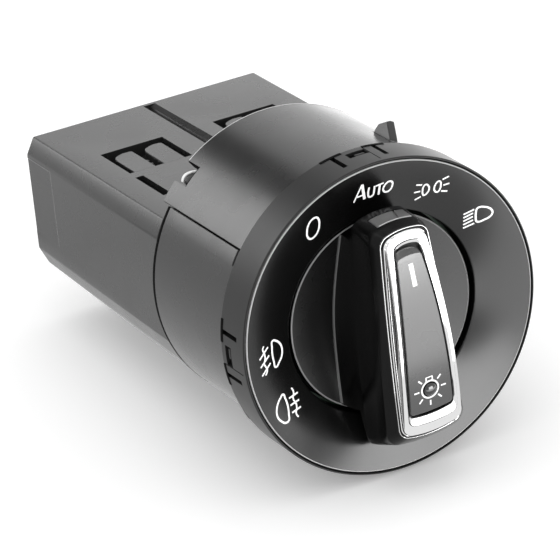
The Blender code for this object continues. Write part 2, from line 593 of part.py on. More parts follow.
def bar_outline(half, top, bottom, corner, y_of, bulge=0.7):
    """A long rounded outline: curved tapering sides, bowed ends, tangent corners."""
    h0, h1, h2 = half

    def width(z):
        return h0 + h1 * z + h2 * z * z

    def end_arc(tip, way):
        """Half an end, from the side to the middle, for x above zero."""
        side_z = tip - way * (bulge + corner)
        side_x = width(side_z)
        centre_x = side_x - corner
        lean = math.atan(2 * bulge / centre_x)
        arc = []
        for k in range(6):
            a = (math.pi / 2 - lean) * k / 5
            arc.append((centre_x + corner * math.cos(a), side_z + way * corner * math.sin(a)))
        end_x, end_z = arc[-1]
        arc.append((end_x / 2, end_z + way * bulge * 0.75))
        arc.append((0.0, end_z + way * bulge))
        return arc

    top_arc = end_arc(top, 1)
    bottom_arc = end_arc(bottom, -1)
    low_z, high_z = bottom_arc[0][1], top_arc[0][1]
    sides = [low_z + (high_z - low_z) * k / 9 for k in range(1, 9)]
    right = bottom_arc[::-1] + [(width(z), z) for z in sides] + top_arc
    left = [(-x, z) for x, z in reversed(right[1:-1])]
    return [Vector((x, y_of(x, z), z)) for x, z in right + left]


def recess_outline(half, radius, y_of):
    """The bar inside the recess: straight tapering sides between two arcs of the disc."""
    h0, h1 = half
    root = math.sqrt(radius ** 2 * (1 + h1 ** 2) - h0 ** 2)
    low_z, high_z = [(way * root - h0 * h1) / (1 + h1 ** 2) for way in (-1, 1)]
    low, high = [math.atan2(h0 + h1 * z, abs(z)) for z in (low_z, high_z)]
    right = [(radius * math.sin(low * k / 7), -radius * math.cos(low * k / 7)) for k in range(8)]
    right += [(h0 + h1 * z, z) for z in (low_z + (high_z - low_z) * k / 9 for k in range(1, 9))]
    right += [(radius * math.sin(high * k / 7), radius * math.cos(high * k / 7)) for k in range(7, -1, -1)]
    left = [(-x, z) for x, z in reversed(right[1:-1])]
    return [Vector((x, y_of(x, z), z)) for x, z in right + left]


def flat(y):
    return lambda x, z: y


def arched(drop):
    return lambda x, z: CREST_Y + CREST_ARCH * z * z + drop


def above_dish(x, z):
    depth = DISC_DISH * (DISC_R - math.hypot(x, z))
    return min(DISC_RIM_Y + depth, DISH_FLOOR_Y) - GAP


foot = [recess_outline(FOOT_HALF, RECESS_R, above_dish)]
neck = [recess_outline(half, radius, flat(y)) for y, half, radius in RECESS_SECTIONS]
head = [bar_outline(half, top, bottom, corner, flat(y)) for y, half, top, bottom, corner in GRIP_SECTIONS]
grip_mesh = bmesh.new()
add_loft(grip_mesh, foot + neck + head)
grip_mesh.faces.ensure_lookup_table()
middle = bmesh.ops.poke(grip_mesh, faces=[grip_mesh.faces[-2]])["verts"][0]
middle.co = (0.0, DISH_FLOOR_Y - GAP, 0.0)
grip = finish("knob_grip", grip_mesh, GLOSS_BLACK, parent=knob_axis)
pocket = box_mesh((-LENS_HALF - GAP, LENS_Y[0] - GAP, LENS_Z[0] - GAP),
                  (LENS_HALF + GAP, LENS_Y[1] + GAP, 34.0))
modify(grip, "DIFFERENCE", finish("cut_lens_pocket", pocket, None, parent=knob_axis, cutter=True))

lens = bmesh.new()
lens_loops = []
for k in range(9):
    x = LENS_HALF * (k / 4 - 1)
    front = LENS_Z[1] - 0.045 * x * x
    low = LENS_Y[0] + 0.02 * x * x
    lens_loops.append([Vector((x, low, LENS_Z[0])), Vector((x, LENS_Y[1], LENS_Z[0])),
                       Vector((x, LENS_Y[1], front)), Vector((x, low, front - 0.3))])
add_loft(lens, lens_loops)
finish("tip_lens", lens, CLEAR, parent=knob_axis)

chrome = bmesh.new()
add_loft(chrome, [bar_outline(LIP_HALF, 27.75, -26.35, 3.1, flat(GRIP_LIP_Y)),
                  bar_outline((LIP_HALF[0] - 0.2, *LIP_HALF[1:]), 27.5, -26.1, 2.9, flat(GRIP_LIP_Y - 0.5)),
                  bar_outline(CREST_HALF, 26.7, -25.3, 2.5, arched(0.0)),
                  bar_outline(BEVEL_HALF, 24.2, -22.8, 1.9, arched(0.1), 0.5),
                  bar_outline(OPENING_HALF, 23.0, -19.8, 1.3, arched(1.2), 0.5),
                  bar_outline(OPENING_HALF, 23.0, -19.8, 1.3, flat(GRIP_LIP_Y), 0.5)], around=True)
finish("chrome_frame", chrome, CHROME, parent=knob_axis)

insert_half = (OPENING_HALF[0] - 0.28, OPENING_HALF[1], OPENING_HALF[2])
panel = bmesh.new()
add_loft(panel, [bar_outline(insert_half, 22.7, -19.5, 1.1, flat(GRIP_LIP_Y), 0.4),
                 bar_outline(insert_half, 22.7, -19.5, 1.1, arched(1.2), 0.4),
                 bar_outline(PLATEAU_HALF, 21.3, -19.3, 0.9, arched(0.1), 0.4)])
insert = finish("insert_panel", panel, INSERT_GLOSS, parent=knob_axis)
facing = Matrix.Translation((0, 0, DOME_Z)) @ Matrix.Rotation(math.radians(90), 4, "X")
hole = bmesh.new()
add_cylinder(hole, DOME_R + 0.25, 22.0, 30.0, 20, facing)
modify(insert, "DIFFERENCE", finish("cut_indicator_hole", hole, None, parent=knob_axis, cutter=True))
dome_top = CREST_Y + CREST_ARCH * DOME_Z ** 2 + 0.3
dome_profile = ((0.0, GRIP_LIP_Y), (DOME_R, GRIP_LIP_Y), (DOME_R, dome_top + 0.1),
                (DOME_R * 0.87, dome_top - 0.35), (DOME_R * 0.5, dome_top - 0.7), (0.0, dome_top - 0.85))
dome = lathe(dome_profile, 20, solid=True)
bmesh.ops.translate(dome, vec=(0, 0, DOME_Z), verts=dome.verts)
finish("indicator_dome", dome, GLOSS_BLACK, parent=knob_axis)


def add_coil(bm, coil_r, wire_r, low, high, turns, around, sides):
    """A round wire coil along local Z."""
    loops = []
    count = turns * around
    for k in range(count + 1):
        angle = math.tau * k / around
        centre = Vector((coil_r * math.cos(angle), coil_r * math.sin(angle),
                         low + wire_r + (high - low - 2 * wire_r) * k / count))
        outward = Vector((math.cos(angle), math.sin(angle), 0))
        loops.append([centre + (outward * math.cos(math.tau * s / sides)
                                + Vector((0, 0, 1)) * math.sin(math.tau * s / sides)) * wire_r
                      for s in range(sides)])
    add_loft(bm, loops)


# Dash latch: a ramped lug that slides in its guide against a spring
latch_y = (LATCH_Y[0] + LATCH_Y[1]) / 2
half_long = (LATCH_Y[1] - LATCH_Y[0]) / 2
latch_place = to_metres(radial_frame(LATCH_DEG, latch_y))
half_thick = LATCH_THICK / 2
side_outline = ((-half_long, LATCH_FOOT_R), (half_long, LATCH_FOOT_R), (half_long, LATCH_SHOULDER_R),
                (half_long - 0.6, LATCH_TOP_R - 2.0), (half_long - 2.3, LATCH_TOP_R - 0.2),
                (half_long - 3.3, LATCH_TOP_R), (-half_long + 0.5, LATCH_SHOULDER_R),
                (-half_long, LATCH_SHOULDER_R - 0.6))
lug = bmesh.new()
add_loft(lug, [[Vector((x, y, z)) for y, z in side_outline] for x in (-half_thick, half_thick)])
finish("latch_lug", lug, HOUSING_GREY, latch_place)
guide_half = half_thick + LATCH_GAP
guide_long = half_long + LATCH_GAP
latch_guide = finish("latch_guide", box_mesh((-guide_half - 1.6, -guide_long - 1.7, LATCH_SPRING_R - 1.8),
                                             (guide_half + 1.6, guide_long + 1.7, BARREL_BORE_R - 0.6)),
                     INNER_BLACK, latch_place)
guide_cut = box_mesh((-guide_half, -guide_long, LATCH_SPRING_R), (guide_half, guide_long, BARREL_R))
modify(latch_guide, "DIFFERENCE", finish("cut_latch_guide", guide_cut, None, latch_place, cutter=True))
coil = bmesh.new()
add_coil(coil, LATCH_THICK / 2 - 0.2, 0.22, LATCH_SPRING_R + GAP, LATCH_FOOT_R - GAP, 5, 10, 5)
finish("latch_spring", coil, SPRING_STEEL, latch_place)

# Detent: a sprung plunger that rides on the star of the rotor
detent_place = to_metres(radial_frame(DETENT_DEG, DETENT_Y))
block_rear = MID_FRAME_Y[0] - GAP - DETENT_Y
block_half = DETENT_BLOCK_HALF
detent_block = finish("detent_block", box_mesh((-block_half, -block_half + 0.8, DETENT_BLOCK_R[0]),
                                               (block_half, block_rear, DETENT_BLOCK_R[1])),
                      INNER_BLACK, detent_place)
detent_cut = bmesh.new()
add_cylinder(detent_cut, PLUNGER_R + 0.35, DETENT_BLOCK_R[0] - 1.4, DETENT_SEAT_R, 20, Matrix.Identity(4))
modify(detent_block, "DIFFERENCE", finish("cut_detent_bore", detent_cut, None, detent_place, cutter=True))
plunger = lathe(((0.0, DETENT_TIP_R), (0.9, DETENT_TIP_R + 0.2), (1.7, DETENT_TIP_R + 1.0),
                 (PLUNGER_R, DETENT_TIP_R + 2.4), (PLUNGER_R, DETENT_TAIL_R), (0.0, DETENT_TAIL_R)),
                20, solid=True)
bmesh.ops.rotate(plunger, matrix=Matrix.Rotation(math.radians(90), 3, "X"), verts=plunger.verts)
finish("detent_plunger", plunger, TIN, detent_place)
coil = bmesh.new()
add_coil(coil, PLUNGER_R - 0.5, 0.25, DETENT_TAIL_R + GAP, DETENT_SEAT_R - GAP, 5, 12, 5)
finish("detent_spring", coil, SPRING_STEEL, detent_place)
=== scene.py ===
"""Looks of a rotary lamp switch for a vehicle dashboard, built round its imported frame.

Shapes are worked out in millimetres and written in metres. The knob faces -Y,
the connector end points to +Y, +Z is up, and angles run from +X towards +Z.
"""
import json
import math

import bmesh
import bpy
from mathutils import Matrix, Vector


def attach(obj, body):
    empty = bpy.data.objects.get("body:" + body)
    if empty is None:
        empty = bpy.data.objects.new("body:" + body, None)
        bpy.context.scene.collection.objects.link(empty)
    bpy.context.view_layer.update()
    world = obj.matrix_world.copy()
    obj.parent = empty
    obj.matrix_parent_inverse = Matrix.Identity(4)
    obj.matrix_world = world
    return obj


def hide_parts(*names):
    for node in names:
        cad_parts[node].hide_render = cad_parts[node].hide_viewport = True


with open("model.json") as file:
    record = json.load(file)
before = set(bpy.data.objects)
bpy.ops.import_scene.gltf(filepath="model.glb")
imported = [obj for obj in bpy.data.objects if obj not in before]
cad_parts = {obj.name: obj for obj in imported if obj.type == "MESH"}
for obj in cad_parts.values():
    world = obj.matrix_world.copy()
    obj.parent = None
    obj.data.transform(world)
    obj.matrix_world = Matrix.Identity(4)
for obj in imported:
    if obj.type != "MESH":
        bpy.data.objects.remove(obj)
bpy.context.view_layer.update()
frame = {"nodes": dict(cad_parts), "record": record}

MM = 0.001
TURN_AXIS = (0, -1, 0)

# Bezel, face and drum, in millimetres and degrees
BEZEL_R = 40.0
BEZEL_DEPTH = 11.0
FACE_R = 39.05
HOLE_R = 25.6
HOLE_Y = -7.0
FACE_SLOPE = (HOLE_Y + BEZEL_DEPTH) / (FACE_R - HOLE_R)
FINGER_ANGLES = (91.0, 181.0, 271.0, 1.0)
DRUM_R = 37.3
DRUM_BORE_R = 34.9
DRUM_FRONT_Y = -0.3
UPPER_REAR_Y = 43.2
LOWER_REAR_Y = 39.0
SEAM_DEG = 144.6
SEAM_GAP_DEG = 0.4
LOWER_DEG = (SEAM_DEG + SEAM_GAP_DEG, 540.0 - (SEAM_DEG + SEAM_GAP_DEG))

# Latch lug on the drum and the slot it slides in, which leaves 0.35 mm all round
LATCH_DEG = 60.6
LATCH_Y = 17.15
LATCH_HALF_LENGTH = 3.85
LATCH_HALF_WIDTH = 1.2
SLOT_Y = (12.95, 21.35)
SLOT_HALF_WIDTH = 1.55

# Case
CASE_FRONT_Y = 40.0
CASE_REAR_Y = 112.2
PAST_REAR_Y = 115.0
CASE_TOP = 18.4

# Knob, turned a little to the left as photographed
DISC_R = 24.6
DISC_RIM_Y = -6.3
DISC_DISH = 0.27
HUB_R = 10.6
DISH_FLOOR_Y = DISC_RIM_Y + DISC_DISH * (DISC_R - HUB_R)
KNOB_TURN = Matrix.Rotation(math.radians(-3.1), 4, "Y")


# Material helpers
def linear(code):
    """An sRGB hex code as linear red, green, blue and full alpha."""
    parts = [int(code[i:i + 2], 16) / 255 for i in (1, 3, 5)]
    light = [p / 12.92 if p <= 0.04045 else ((p + 0.055) / 1.055) ** 2.4 for p in parts]
    return (*light, 1.0)


def add(tree, kind, settings=None, values=None, links=None):
    """Add one node with its settings, socket values and incoming links."""
    node = tree.nodes.new(kind)
    for key, value in (settings or {}).items():
        setattr(node, key, value)
    for socket, value in (values or {}).items():
        node.inputs[socket].default_value = value
    for socket, source in (links or {}).items():
        tree.links.new(source, node.inputs[socket])
    return node


def moulded(name, colour, roughness, grain_mm, depth_mm, values=None, spread=0.06):
    """A moulded or plated surface with fine grain and slightly uneven gloss."""
    material = bpy.data.materials.new(name)
    material.use_nodes = True
    tree = material.node_tree
    shader = tree.nodes["Principled BSDF"]
    shader.inputs["Base Color"].default_value = linear(colour)
    for socket, value in (values or {}).items():
        shader.inputs[socket].default_value = value
    place = add(tree, "ShaderNodeTexCoord")
    grain = add(tree, "ShaderNodeTexNoise",
                values={"Scale": 1 / (grain_mm * MM), "Detail": 2.0},
                links={"Vector": place.outputs["Object"]})
    patches = add(tree, "ShaderNodeTexNoise",
                  values={"Scale": 90.0, "Detail": 3.0}, links={"Vector": place.outputs["Object"]})
    gloss = add(tree, "ShaderNodeMapRange",
                values={"To Min": max(roughness - spread, 0.02), "To Max": roughness + spread},
                links={"Value": patches.outputs["Fac"]})
    relief = add(tree, "ShaderNodeBump", values={"Strength": 1.0, "Distance": depth_mm * MM},
                 links={"Height": grain.outputs["Fac"]})
    tree.links.new(gloss.outputs["Result"], shader.inputs["Roughness"])
    tree.links.new(relief.outputs["Normal"], shader.inputs["Normal"])
    return material


# Two-pack soft-touch paint over ABS: near black, satin, with a fine spray grain
FACE_PAINT = moulded("satin_black_paint", "#080808", 0.22, 0.35, 0.003, spread=0.04)
# Spark-eroded ABS of the bezel: dark grey with a dull sheen
BEZEL_ABS = moulded("eroded_abs", "#1e1e1e", 0.4, 0.3, 0.002, {"Specular IOR Level": 0.3})
# Glass-filled PBT of the drum and case: dark grey with a broad satin sheen
HOUSING_PBT = moulded("filled_pbt", "#282828", 0.27, 0.4, 0.0015)
# Polished ABS of the knob: deep black with a clean reflection
KNOB_ABS = moulded("polished_black_abs", "#050505", 0.22, 1.2, 0.0004, {"Specular IOR Level": 0.15}, 0.03)
# The knob's round disc is less polished than the bar
DISC_ABS = moulded("satin_black_abs", "#040404", 0.27, 0.6, 0.001)
# Back-painted acrylic insert: smoke grey under a clear gloss
INSERT_PMMA = moulded("smoked_pmma", "#404040", 0.28, 1.0, 0.0004,
                      {"Coat Weight": 0.8, "Coat Roughness": 0.24})
# Bright chrome plate on ABS: a mirror with a faint flow of the moulding below
CHROME = moulded("chrome_plate", "#e9e9e9", 0.06, 2.5, 0.0004, {"Metallic": 1.0}, 0.02)
# Moulded polycarbonate of the light guide: clear as glass
CLEAR_PC = moulded("clear_polycarbonate", "#c4c4c4", 0.06, 1.0, 0.001,
                   {"Transmission Weight": 1.0, "IOR": 1.58}, 0.03)
# Opaque white print, laser cut through the paint: clean, even white, with a faint glow that is painted light
GLOWING_WHITE_PRINT = moulded("white_print_painted_glow", "#ffffff", 0.5, 0.3, 0.0005,
                      {"Emission Color": (1, 1, 1, 1), "Emission Strength": 0.35})
# Smoked polycarbonate tip window, partly milky so that it reads grey over black
LENS_PC = moulded("smoked_polycarbonate", "#8c8c8c", 0.32, 1.6, 0.006,
                  {"Transmission Weight": 0.6, "IOR": 1.58}, 0.03)
# Light rim of the tip window: a painted highlight along its edge
LENS_EDGE_HIGHLIGHT = moulded("lens_edge_painted_highlight", "#e4e4e4", 0.15, 1.0, 0.0005)
# Gloss black of the small dome, lacquered so that it holds a sharp highlight
DOME_ABS = moulded("lacquered_black_abs", "#020202", 0.1, 1.0, 0.0004,
                   {"Coat Weight": 1.0, "Coat Roughness": 0.05}, 0.02)
# Bright rim of the round disc: a painted highlight on the black moulding
RIM_HIGHLIGHT = moulded("disc_rim_painted_highlight", "#909090", 0.25, 0.5, 0.0005)
# Thin grey line along the foot of the knob's bar: a painted highlight on the black
CREASE_HIGHLIGHT = moulded("crease_painted_highlight", "#5a5a5a", 0.25, 0.5, 0.0005)
# Light edge of a black part: a painted highlight on the edges of the face plate, the drum and the hook
EDGE_HIGHLIGHT = moulded("black_edge_painted_highlight", "#d8d8d8", 0.3, 0.5, 0.0005)
# Unpolished black PBT inside the case: no sheen at all; the same flat black is painted shade in gaps, seams
# and notches
BLACK_PBT_AND_SHADE = moulded("black_pbt_and_painted_shade", "#030303", 0.7, 0.4, 0.003, {"Specular IOR Level": 0.05})
# Tinned copper alloy terminals: pale, softly reflecting
TIN = moulded("tin_plate", "#c9c9c6", 0.3, 0.3, 0.001, {"Metallic": 1.0})
# Rolled brass of the leaf contacts: warm yellow with a soft shine
BRASS = moulded("rolled_brass", "#c8a860", 0.28, 0.3, 0.001, {"Metallic": 1.0})
# Drawn wire of the springs: grey with a soft shine
SPRING_WIRE = moulded("drawn_wire", "#9a9a9a", 0.3, 0.2, 0.001, {"Metallic": 1.0})
# Solder resist over glass fibre board: dark green, half gloss
BOARD = moulded("solder_resist", "#1c4028", 0.4, 0.6, 0.002)
# Cast resin of the small lamps: milky white
LAMP = moulded("lamp_resin", "#d8d8d2", 0.4, 0.5, 0.001)

FINISH_OF_SLOT = {
    "bezel_plastic": BEZEL_ABS, "satin_black_face": FACE_PAINT, "housing_plastic": HOUSING_PBT,
    "gloss_black": KNOB_ABS, "insert_gloss": INSERT_PMMA, "chrome_plate": CHROME, "clear_lens": CLEAR_PC,
    "inner_black": BLACK_PBT_AND_SHADE, "board_green": BOARD, "lamp_white": LAMP, "tinned_terminal": TIN,
    "contact_brass": BRASS, "spring_steel": SPRING_WIRE,
}
for part in frame["record"]["subparts"]:
    node = frame["nodes"][part["node"]]
    node.data.materials.clear()
    node.data.materials.append(FINISH_OF_SLOT[part["material_slot"]])


# Shape helpers, all in millimetres
def polar(radius, y, degrees):
    """The point at a radius and a bearing round the axis."""
    angle = math.radians(degrees)
    return Vector((radius * math.cos(angle), y, radius * math.sin(angle)))


def band(inner, outer, front, rear):
    """A rectangular profile of (radius, y) points."""
    return (inner, front), (outer, front), (outer, rear), (inner, rear)


def loop_of(bm, points):
    """A closed loop of edges."""
    verts = [bm.verts.new(p) for p in points]
    return [bm.edges.new((a, b)) for a, b in zip(verts, verts[1:] + verts[:1])]


def close_ends(bm):
    """Fill every open end of a shape with one face."""
    bmesh.ops.holes_fill(bm, edges=[e for e in bm.edges if e.is_boundary], sides=0)


def skin(loops, around=False):
    """Bridge equal loops into a skin: capped at both ends, or closed into a ring."""
    bm = bmesh.new()
    rings = [loop_of(bm, points) for points in loops]
    pairs = list(zip(rings[:-1], rings[1:]))
    if around:
        pairs.append((rings[-1], rings[0]))
    for low, high in pairs:
        bmesh.ops.bridge_loops(bm, edges=low + high)
    if not around:
        close_ends(bm)
    return bm


def spun(profile, steps=192, closed=True):
    """Turn a profile of (radius, y) points fully round the axis."""
    bm = bmesh.new()
    verts = [bm.verts.new((r, y, 0.0)) for r, y in profile]
    ring = verts + verts[:1] if closed else verts
    edges = [bm.edges.new(pair) for pair in zip(ring[:-1], ring[1:])]
    bmesh.ops.spin(bm, geom=verts + edges, cent=(0, 0, 0), axis=TURN_AXIS, angle=math.tau, steps=steps,
                   use_merge=True, use_duplicate=False)
    bmesh.ops.remove_doubles(bm, verts=bm.verts, dist=1e-4)
    return bm


def swept(profile, degrees, steps):
    """Turn a closed profile of (radius, y) points through part of a circle, with flat ends."""
    bm = bmesh.new()
    edges = loop_of(bm, [polar(r, y, degrees[0]) for r, y in profile])
    verts = list(bm.verts)
    bmesh.ops.spin(bm, geom=verts + edges, cent=(0, 0, 0), axis=TURN_AXIS,
                   angle=math.radians(degrees[1] - degrees[0]), steps=steps, use_duplicate=False)
    close_ends(bm)
    return bm


def block(low, high, matrix=None):
    """A box between two corners, which a matrix may then place."""
    bm = bmesh.new()
    size = [b - a for a, b in zip(low, high)]
    middle = [(a + b) / 2 for a, b in zip(low, high)]
    place = Matrix.Translation(middle) @ Matrix.Diagonal((*size, 1.0))
    bmesh.ops.create_cube(bm, size=1.0, matrix=matrix @ place if matrix else place)
    return bm


def outward(degrees, y=0.0):
    """Local Z points out along the radius and local Y along the switch."""
    angle = math.radians(degrees)
    out = Vector((math.cos(angle), 0, math.sin(angle)))
    along = Vector((0, 1, 0))
    turn = Matrix((along.cross(out), along, out)).transposed().to_4x4()
    return Matrix.Translation((0, y, 0)) @ turn


def prism(outline, depth, matrix=None):
    """Extrude an outline of (x, y) points between two local Z levels."""
    bm = bmesh.new()
    face = bm.faces.new([bm.verts.new((x, y, depth[0])) for x, y in outline])
    grown = bmesh.ops.extrude_face_region(bm, geom=[face])
    top = [v for v in grown["geom"] if isinstance(v, bmesh.types.BMVert)]
    bmesh.ops.translate(bm, verts=top, vec=(0, 0, depth[1] - depth[0]))
    bmesh.ops.recalc_face_normals(bm, faces=bm.faces)
    if matrix:
        bmesh.ops.transform(bm, matrix=matrix, verts=bm.verts)
    return bm


def soften(bm, width, segments=2, limit=30.0):
    """Round the edges that are sharper than a limit in degrees."""
    edges = [e for e in bm.edges if e.is_manifold and e.calc_face_angle(0) > math.radians(limit)]
    bmesh.ops.bevel(bm, geom=edges, offset=width, segments=segments, profile=0.5, affect="EDGES",
                    clamp_overlap=True, material=-1)
    return bm


def sliced(bm, point, normal, clear=False):
    """Cut a shape along a plane, and take away what lies beyond it if asked."""
    bmesh.ops.bisect_plane(bm, geom=bm.verts[:] + bm.edges[:] + bm.faces[:], dist=1e-4, clear_outer=clear,
                           plane_co=point, plane_no=normal)


def carved(bm, cutters):
    """Cut other closed shapes out of one."""
    def held(shape):
        bmesh.ops.recalc_face_normals(shape, faces=shape.faces)
        mesh = bpy.data.meshes.new("shape")
        shape.to_mesh(mesh)
        shape.free()
        item = bpy.data.objects.new("shape", mesh)
        bpy.context.collection.objects.link(item)
        return item

    base = held(bm)
    tools = [held(cutter) for cutter in cutters]
    for tool in tools:
        modifier = base.modifiers.new("carve", "BOOLEAN")
        modifier.operation = "DIFFERENCE"
        modifier.object = tool
        modifier.solver = "EXACT"
    graph = bpy.context.evaluated_depsgraph_get()
    result = bmesh.new()
    result.from_mesh(base.evaluated_get(graph).to_mesh())
    for item in [base] + tools:
        bpy.data.objects.remove(item, do_unlink=True)
    bmesh.ops.dissolve_limit(result, angle_limit=math.radians(0.2), verts=result.verts, edges=result.edges)
    return result


def merged(*shapes):
    """Put several closed shapes into one mesh."""
    whole = shapes[0]
    for shape in shapes[1:]:
        mesh = bpy.data.meshes.new("shape")
        shape.to_mesh(mesh)
        shape.free()
        whole.from_mesh(mesh)
        bpy.data.meshes.remove(mesh)
    return whole


def piece(name, bm, material, body, stands_for=(), matrix=None, crease=32.0):
    """Finish a shape in millimetres as an object in metres that rides on a body."""
    bmesh.ops.remove_doubles(bm, verts=bm.verts, dist=1e-5)
    bmesh.ops.recalc_face_normals(bm, faces=bm.faces)
    place = Matrix.Scale(MM, 4) @ (matrix or Matrix.Identity(4))
    bmesh.ops.transform(bm, matrix=place, verts=bm.verts)
    for face in bm.faces:
        face.smooth = True
    for edge in bm.edges:
        edge.smooth = not edge.is_manifold or edge.calc_face_angle(0) < math.radians(crease)
    mesh = bpy.data.meshes.new(name)
    bm.to_mesh(mesh)
    bm.free()
    mesh.materials.append(material)
    item = bpy.data.objects.new(name, mesh)
    bpy.context.collection.objects.link(item)
    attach(item, body)
    if stands_for:
        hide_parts(*stands_for)


# Bezel ring, cut by four snap fingers with a window each
LEG_DEG = 8.1
LEG_HALF = 0.6
LEG_END_Y = -7.6
NOTCH_DEG = (4.0, 12.6)
NOTCH_Y = -0.85
WINDOW_HALF_DEG = 3.7
PARTING_DEG = 0.35


def finger_cuts(centre):
    """The cuts that free one finger: a T-shaped slit on each side, its window and a parting line."""
    cuts = []
    for side in (-1, 1):
        near, far = sorted(side * math.radians(degrees - LEG_DEG) * BEZEL_R for degrees in NOTCH_DEG)
        slit = ((near, 0.5), (near, NOTCH_Y), (-LEG_HALF, NOTCH_Y), (-LEG_HALF, LEG_END_Y),
                (LEG_HALF, LEG_END_Y), (LEG_HALF, NOTCH_Y), (far, NOTCH_Y), (far, 0.5))
        cuts.append(prism([(-x, y) for x, y in slit], (36.0, 42.0), outward(centre + side * LEG_DEG)))
    cuts.append(swept(band(36.5, 42.0, -4.6, -1.8), (centre - WINDOW_HALF_DEG, centre + WINDOW_HALF_DEG), 6))
    parting = centre - 4.1 if centre == FINGER_ANGLES[0] else centre + 3.75
    cuts.append(swept(band(38.7, 42.0, -9.6, -0.5), (parting, parting + PARTING_DEG), 1))
    return cuts


bezel = spun(((BEZEL_R, 0.0), (BEZEL_R, -10.7), (39.75, -BEZEL_DEPTH), (39.62, -BEZEL_DEPTH), (39.55, -10.9),
              (39.55, -8.1), (37.75, -8.1), (37.75, 0.0)))
bezel = carved(bezel, [cut for centre in FINGER_ANGLES for cut in finger_cuts(centre)])
piece("bezel_moulding", bezel, BEZEL_ABS, "housing", ("bezel_ring",))

# Black tabs of the inner frame that fill the notches beside the fingers, partly painted shade in the slits,
# and its snap lugs
TAB_DEG = (4.1, 12.5)
LUG_DEG = (-2.8, 1.1)
LUG_PROFILE = ((36.5, -3.9), (39.2, -3.9), (39.72, -3.6), (39.72, -2.8), (36.5, -2.8))
tabs = []
lugs = []
for centre in FINGER_ANGLES:
    for side in (-1, 1):
        near, far = sorted(centre + side * degrees for degrees in TAB_DEG)
        tabs.append(swept(band(37.4, 40.1, -0.8, 0.1), (near, far), 8))
    lugs.append(soften(swept(LUG_PROFILE, (centre + LUG_DEG[0], centre + LUG_DEG[1]), 4), 0.12))

# Wedge of the inner frame that shows behind the lower left of the bezel and grows downwards
WEDGE_FRONT_Y = 0.03
WEDGE_DEG = (202.4, 210.3)
WEDGE_THIN_DEG = 202.0
WEDGE_GROWTH_DEG = 8.3
wedge = swept(band(37.6, 39.95, WEDGE_FRONT_Y, 1.2), WEDGE_DEG, 8)
for vert in wedge.verts:
    bearing = math.degrees(math.atan2(-vert.co.z, -vert.co.x)) + 180.0
    vert.co.y = WEDGE_FRONT_Y + (vert.co.y - WEDGE_FRONT_Y) * (bearing - WEDGE_THIN_DEG) / WEDGE_GROWTH_DEG
piece("frame_tabs_and_shade", merged(*tabs, wedge), BLACK_PBT_AND_SHADE, "housing")
piece("snap_lugs", merged(*lugs), BEZEL_ABS, "housing")


# Dished face plate with a collar round the well of the knob
def dish(radius):
    """The face's y at a radius."""
    return HOLE_Y - FACE_SLOPE * (radius - HOLE_R)


PLATE_R = 38.85
plate = spun(((PLATE_R, -8.9), (PLATE_R, dish(PLATE_R)), (HOLE_R + 0.42, dish(HOLE_R + 0.42)),
              (HOLE_R + 0.2, HOLE_Y + 0.02), (HOLE_R + 0.05, HOLE_Y + 0.16), (HOLE_R, HOLE_Y + 0.4),
              (HOLE_R, -1.6), (HOLE_R + 1.2, -1.6), (HOLE_R + 1.2, HOLE_Y + 1.64)), 256)
piece("face_dish", plate, FACE_PAINT, "housing", ("face_plate",))

# Painted highlight along the edge of the face plate, and painted shade in the gap between it and the bezel
face_rim_highlight = spun(((38.87, -9.2), (38.87, dish(38.87)), (38.96, dish(38.87) - 0.02), (39.08, -10.88),
                  (39.13, -10.75), (39.13, -9.2)), 256)
gap_shade_ring = spun(((39.17, -8.6), (39.17, -10.55), (39.52, -10.55), (39.52, -8.6)), 256)
piece("face_gap_shade", gap_shade_ring, BLACK_PBT_AND_SHADE, "housing")
piece("face_edge_highlight", face_rim_highlight, EDGE_HIGHLIGHT, "housing")


# Printed symbols, as (x, z) points seen from the front
def printed(name, strokes, surface, body, matrix=None):
    """Flat white strokes laid on a surface; each stroke is (points, width, closed, smooth)."""
    flat = bmesh.new()
    for points, width, closed, smooth in strokes:
        curve = bpy.data.curves.new(name, "CURVE")
        curve.dimensions = "3D"
        curve.bevel_depth = width / 2
        curve.bevel_resolution = 3
        curve.use_fill_caps = True
        curve.resolution_u = 10 if smooth else 1
        line = curve.splines.new("BEZIER")
        line.bezier_points.add(len(points) - 1)
        for knot, (x, z) in zip(line.bezier_points, points):
            knot.co = (x, z, 0)
            knot.handle_left_type = knot.handle_right_type = "AUTO" if smooth else "VECTOR"
        line.use_cyclic_u = closed
        holder = bpy.data.objects.new(name, curve)
        bpy.context.collection.objects.link(holder)
        graph = bpy.context.evaluated_depsgraph_get()
        mesh = bpy.data.meshes.new_from_object(holder.evaluated_get(graph))
        flat.from_mesh(mesh)
        bpy.data.objects.remove(holder, do_unlink=True)
    for vert in flat.verts:
        x, z, height = vert.co
        vert.co = Vector((x, surface(x, z) - 0.02 - height * 0.12, z))
    piece(name, flat, GLOWING_WHITE_PRINT, body, matrix=matrix, crease=60.0)


def outline(points, width):
    """A closed smooth stroke."""
    return [(points, width, True, True)]


def wave(points, width):
    """An open smooth stroke."""
    return [(points, width, False, True)]


def bars(ends, width):
    """Straight strokes between pairs of points."""
    return [(pair, width, False, False) for pair in ends]


def on_face(x, z):
    """The face's y at a point."""
    return dish(math.hypot(x, z))


ZERO = ((-16.53, 30.25), (-15.72, 29.35), (-15.5, 27.78), (-15.8, 26.23), (-16.72, 25.1), (-17.95, 24.82),
        (-18.86, 25.68), (-19.12, 27.24), (-18.78, 28.9), (-17.9, 29.97))
printed("mark_zero", outline(ZERO, 0.52), on_face, "housing")

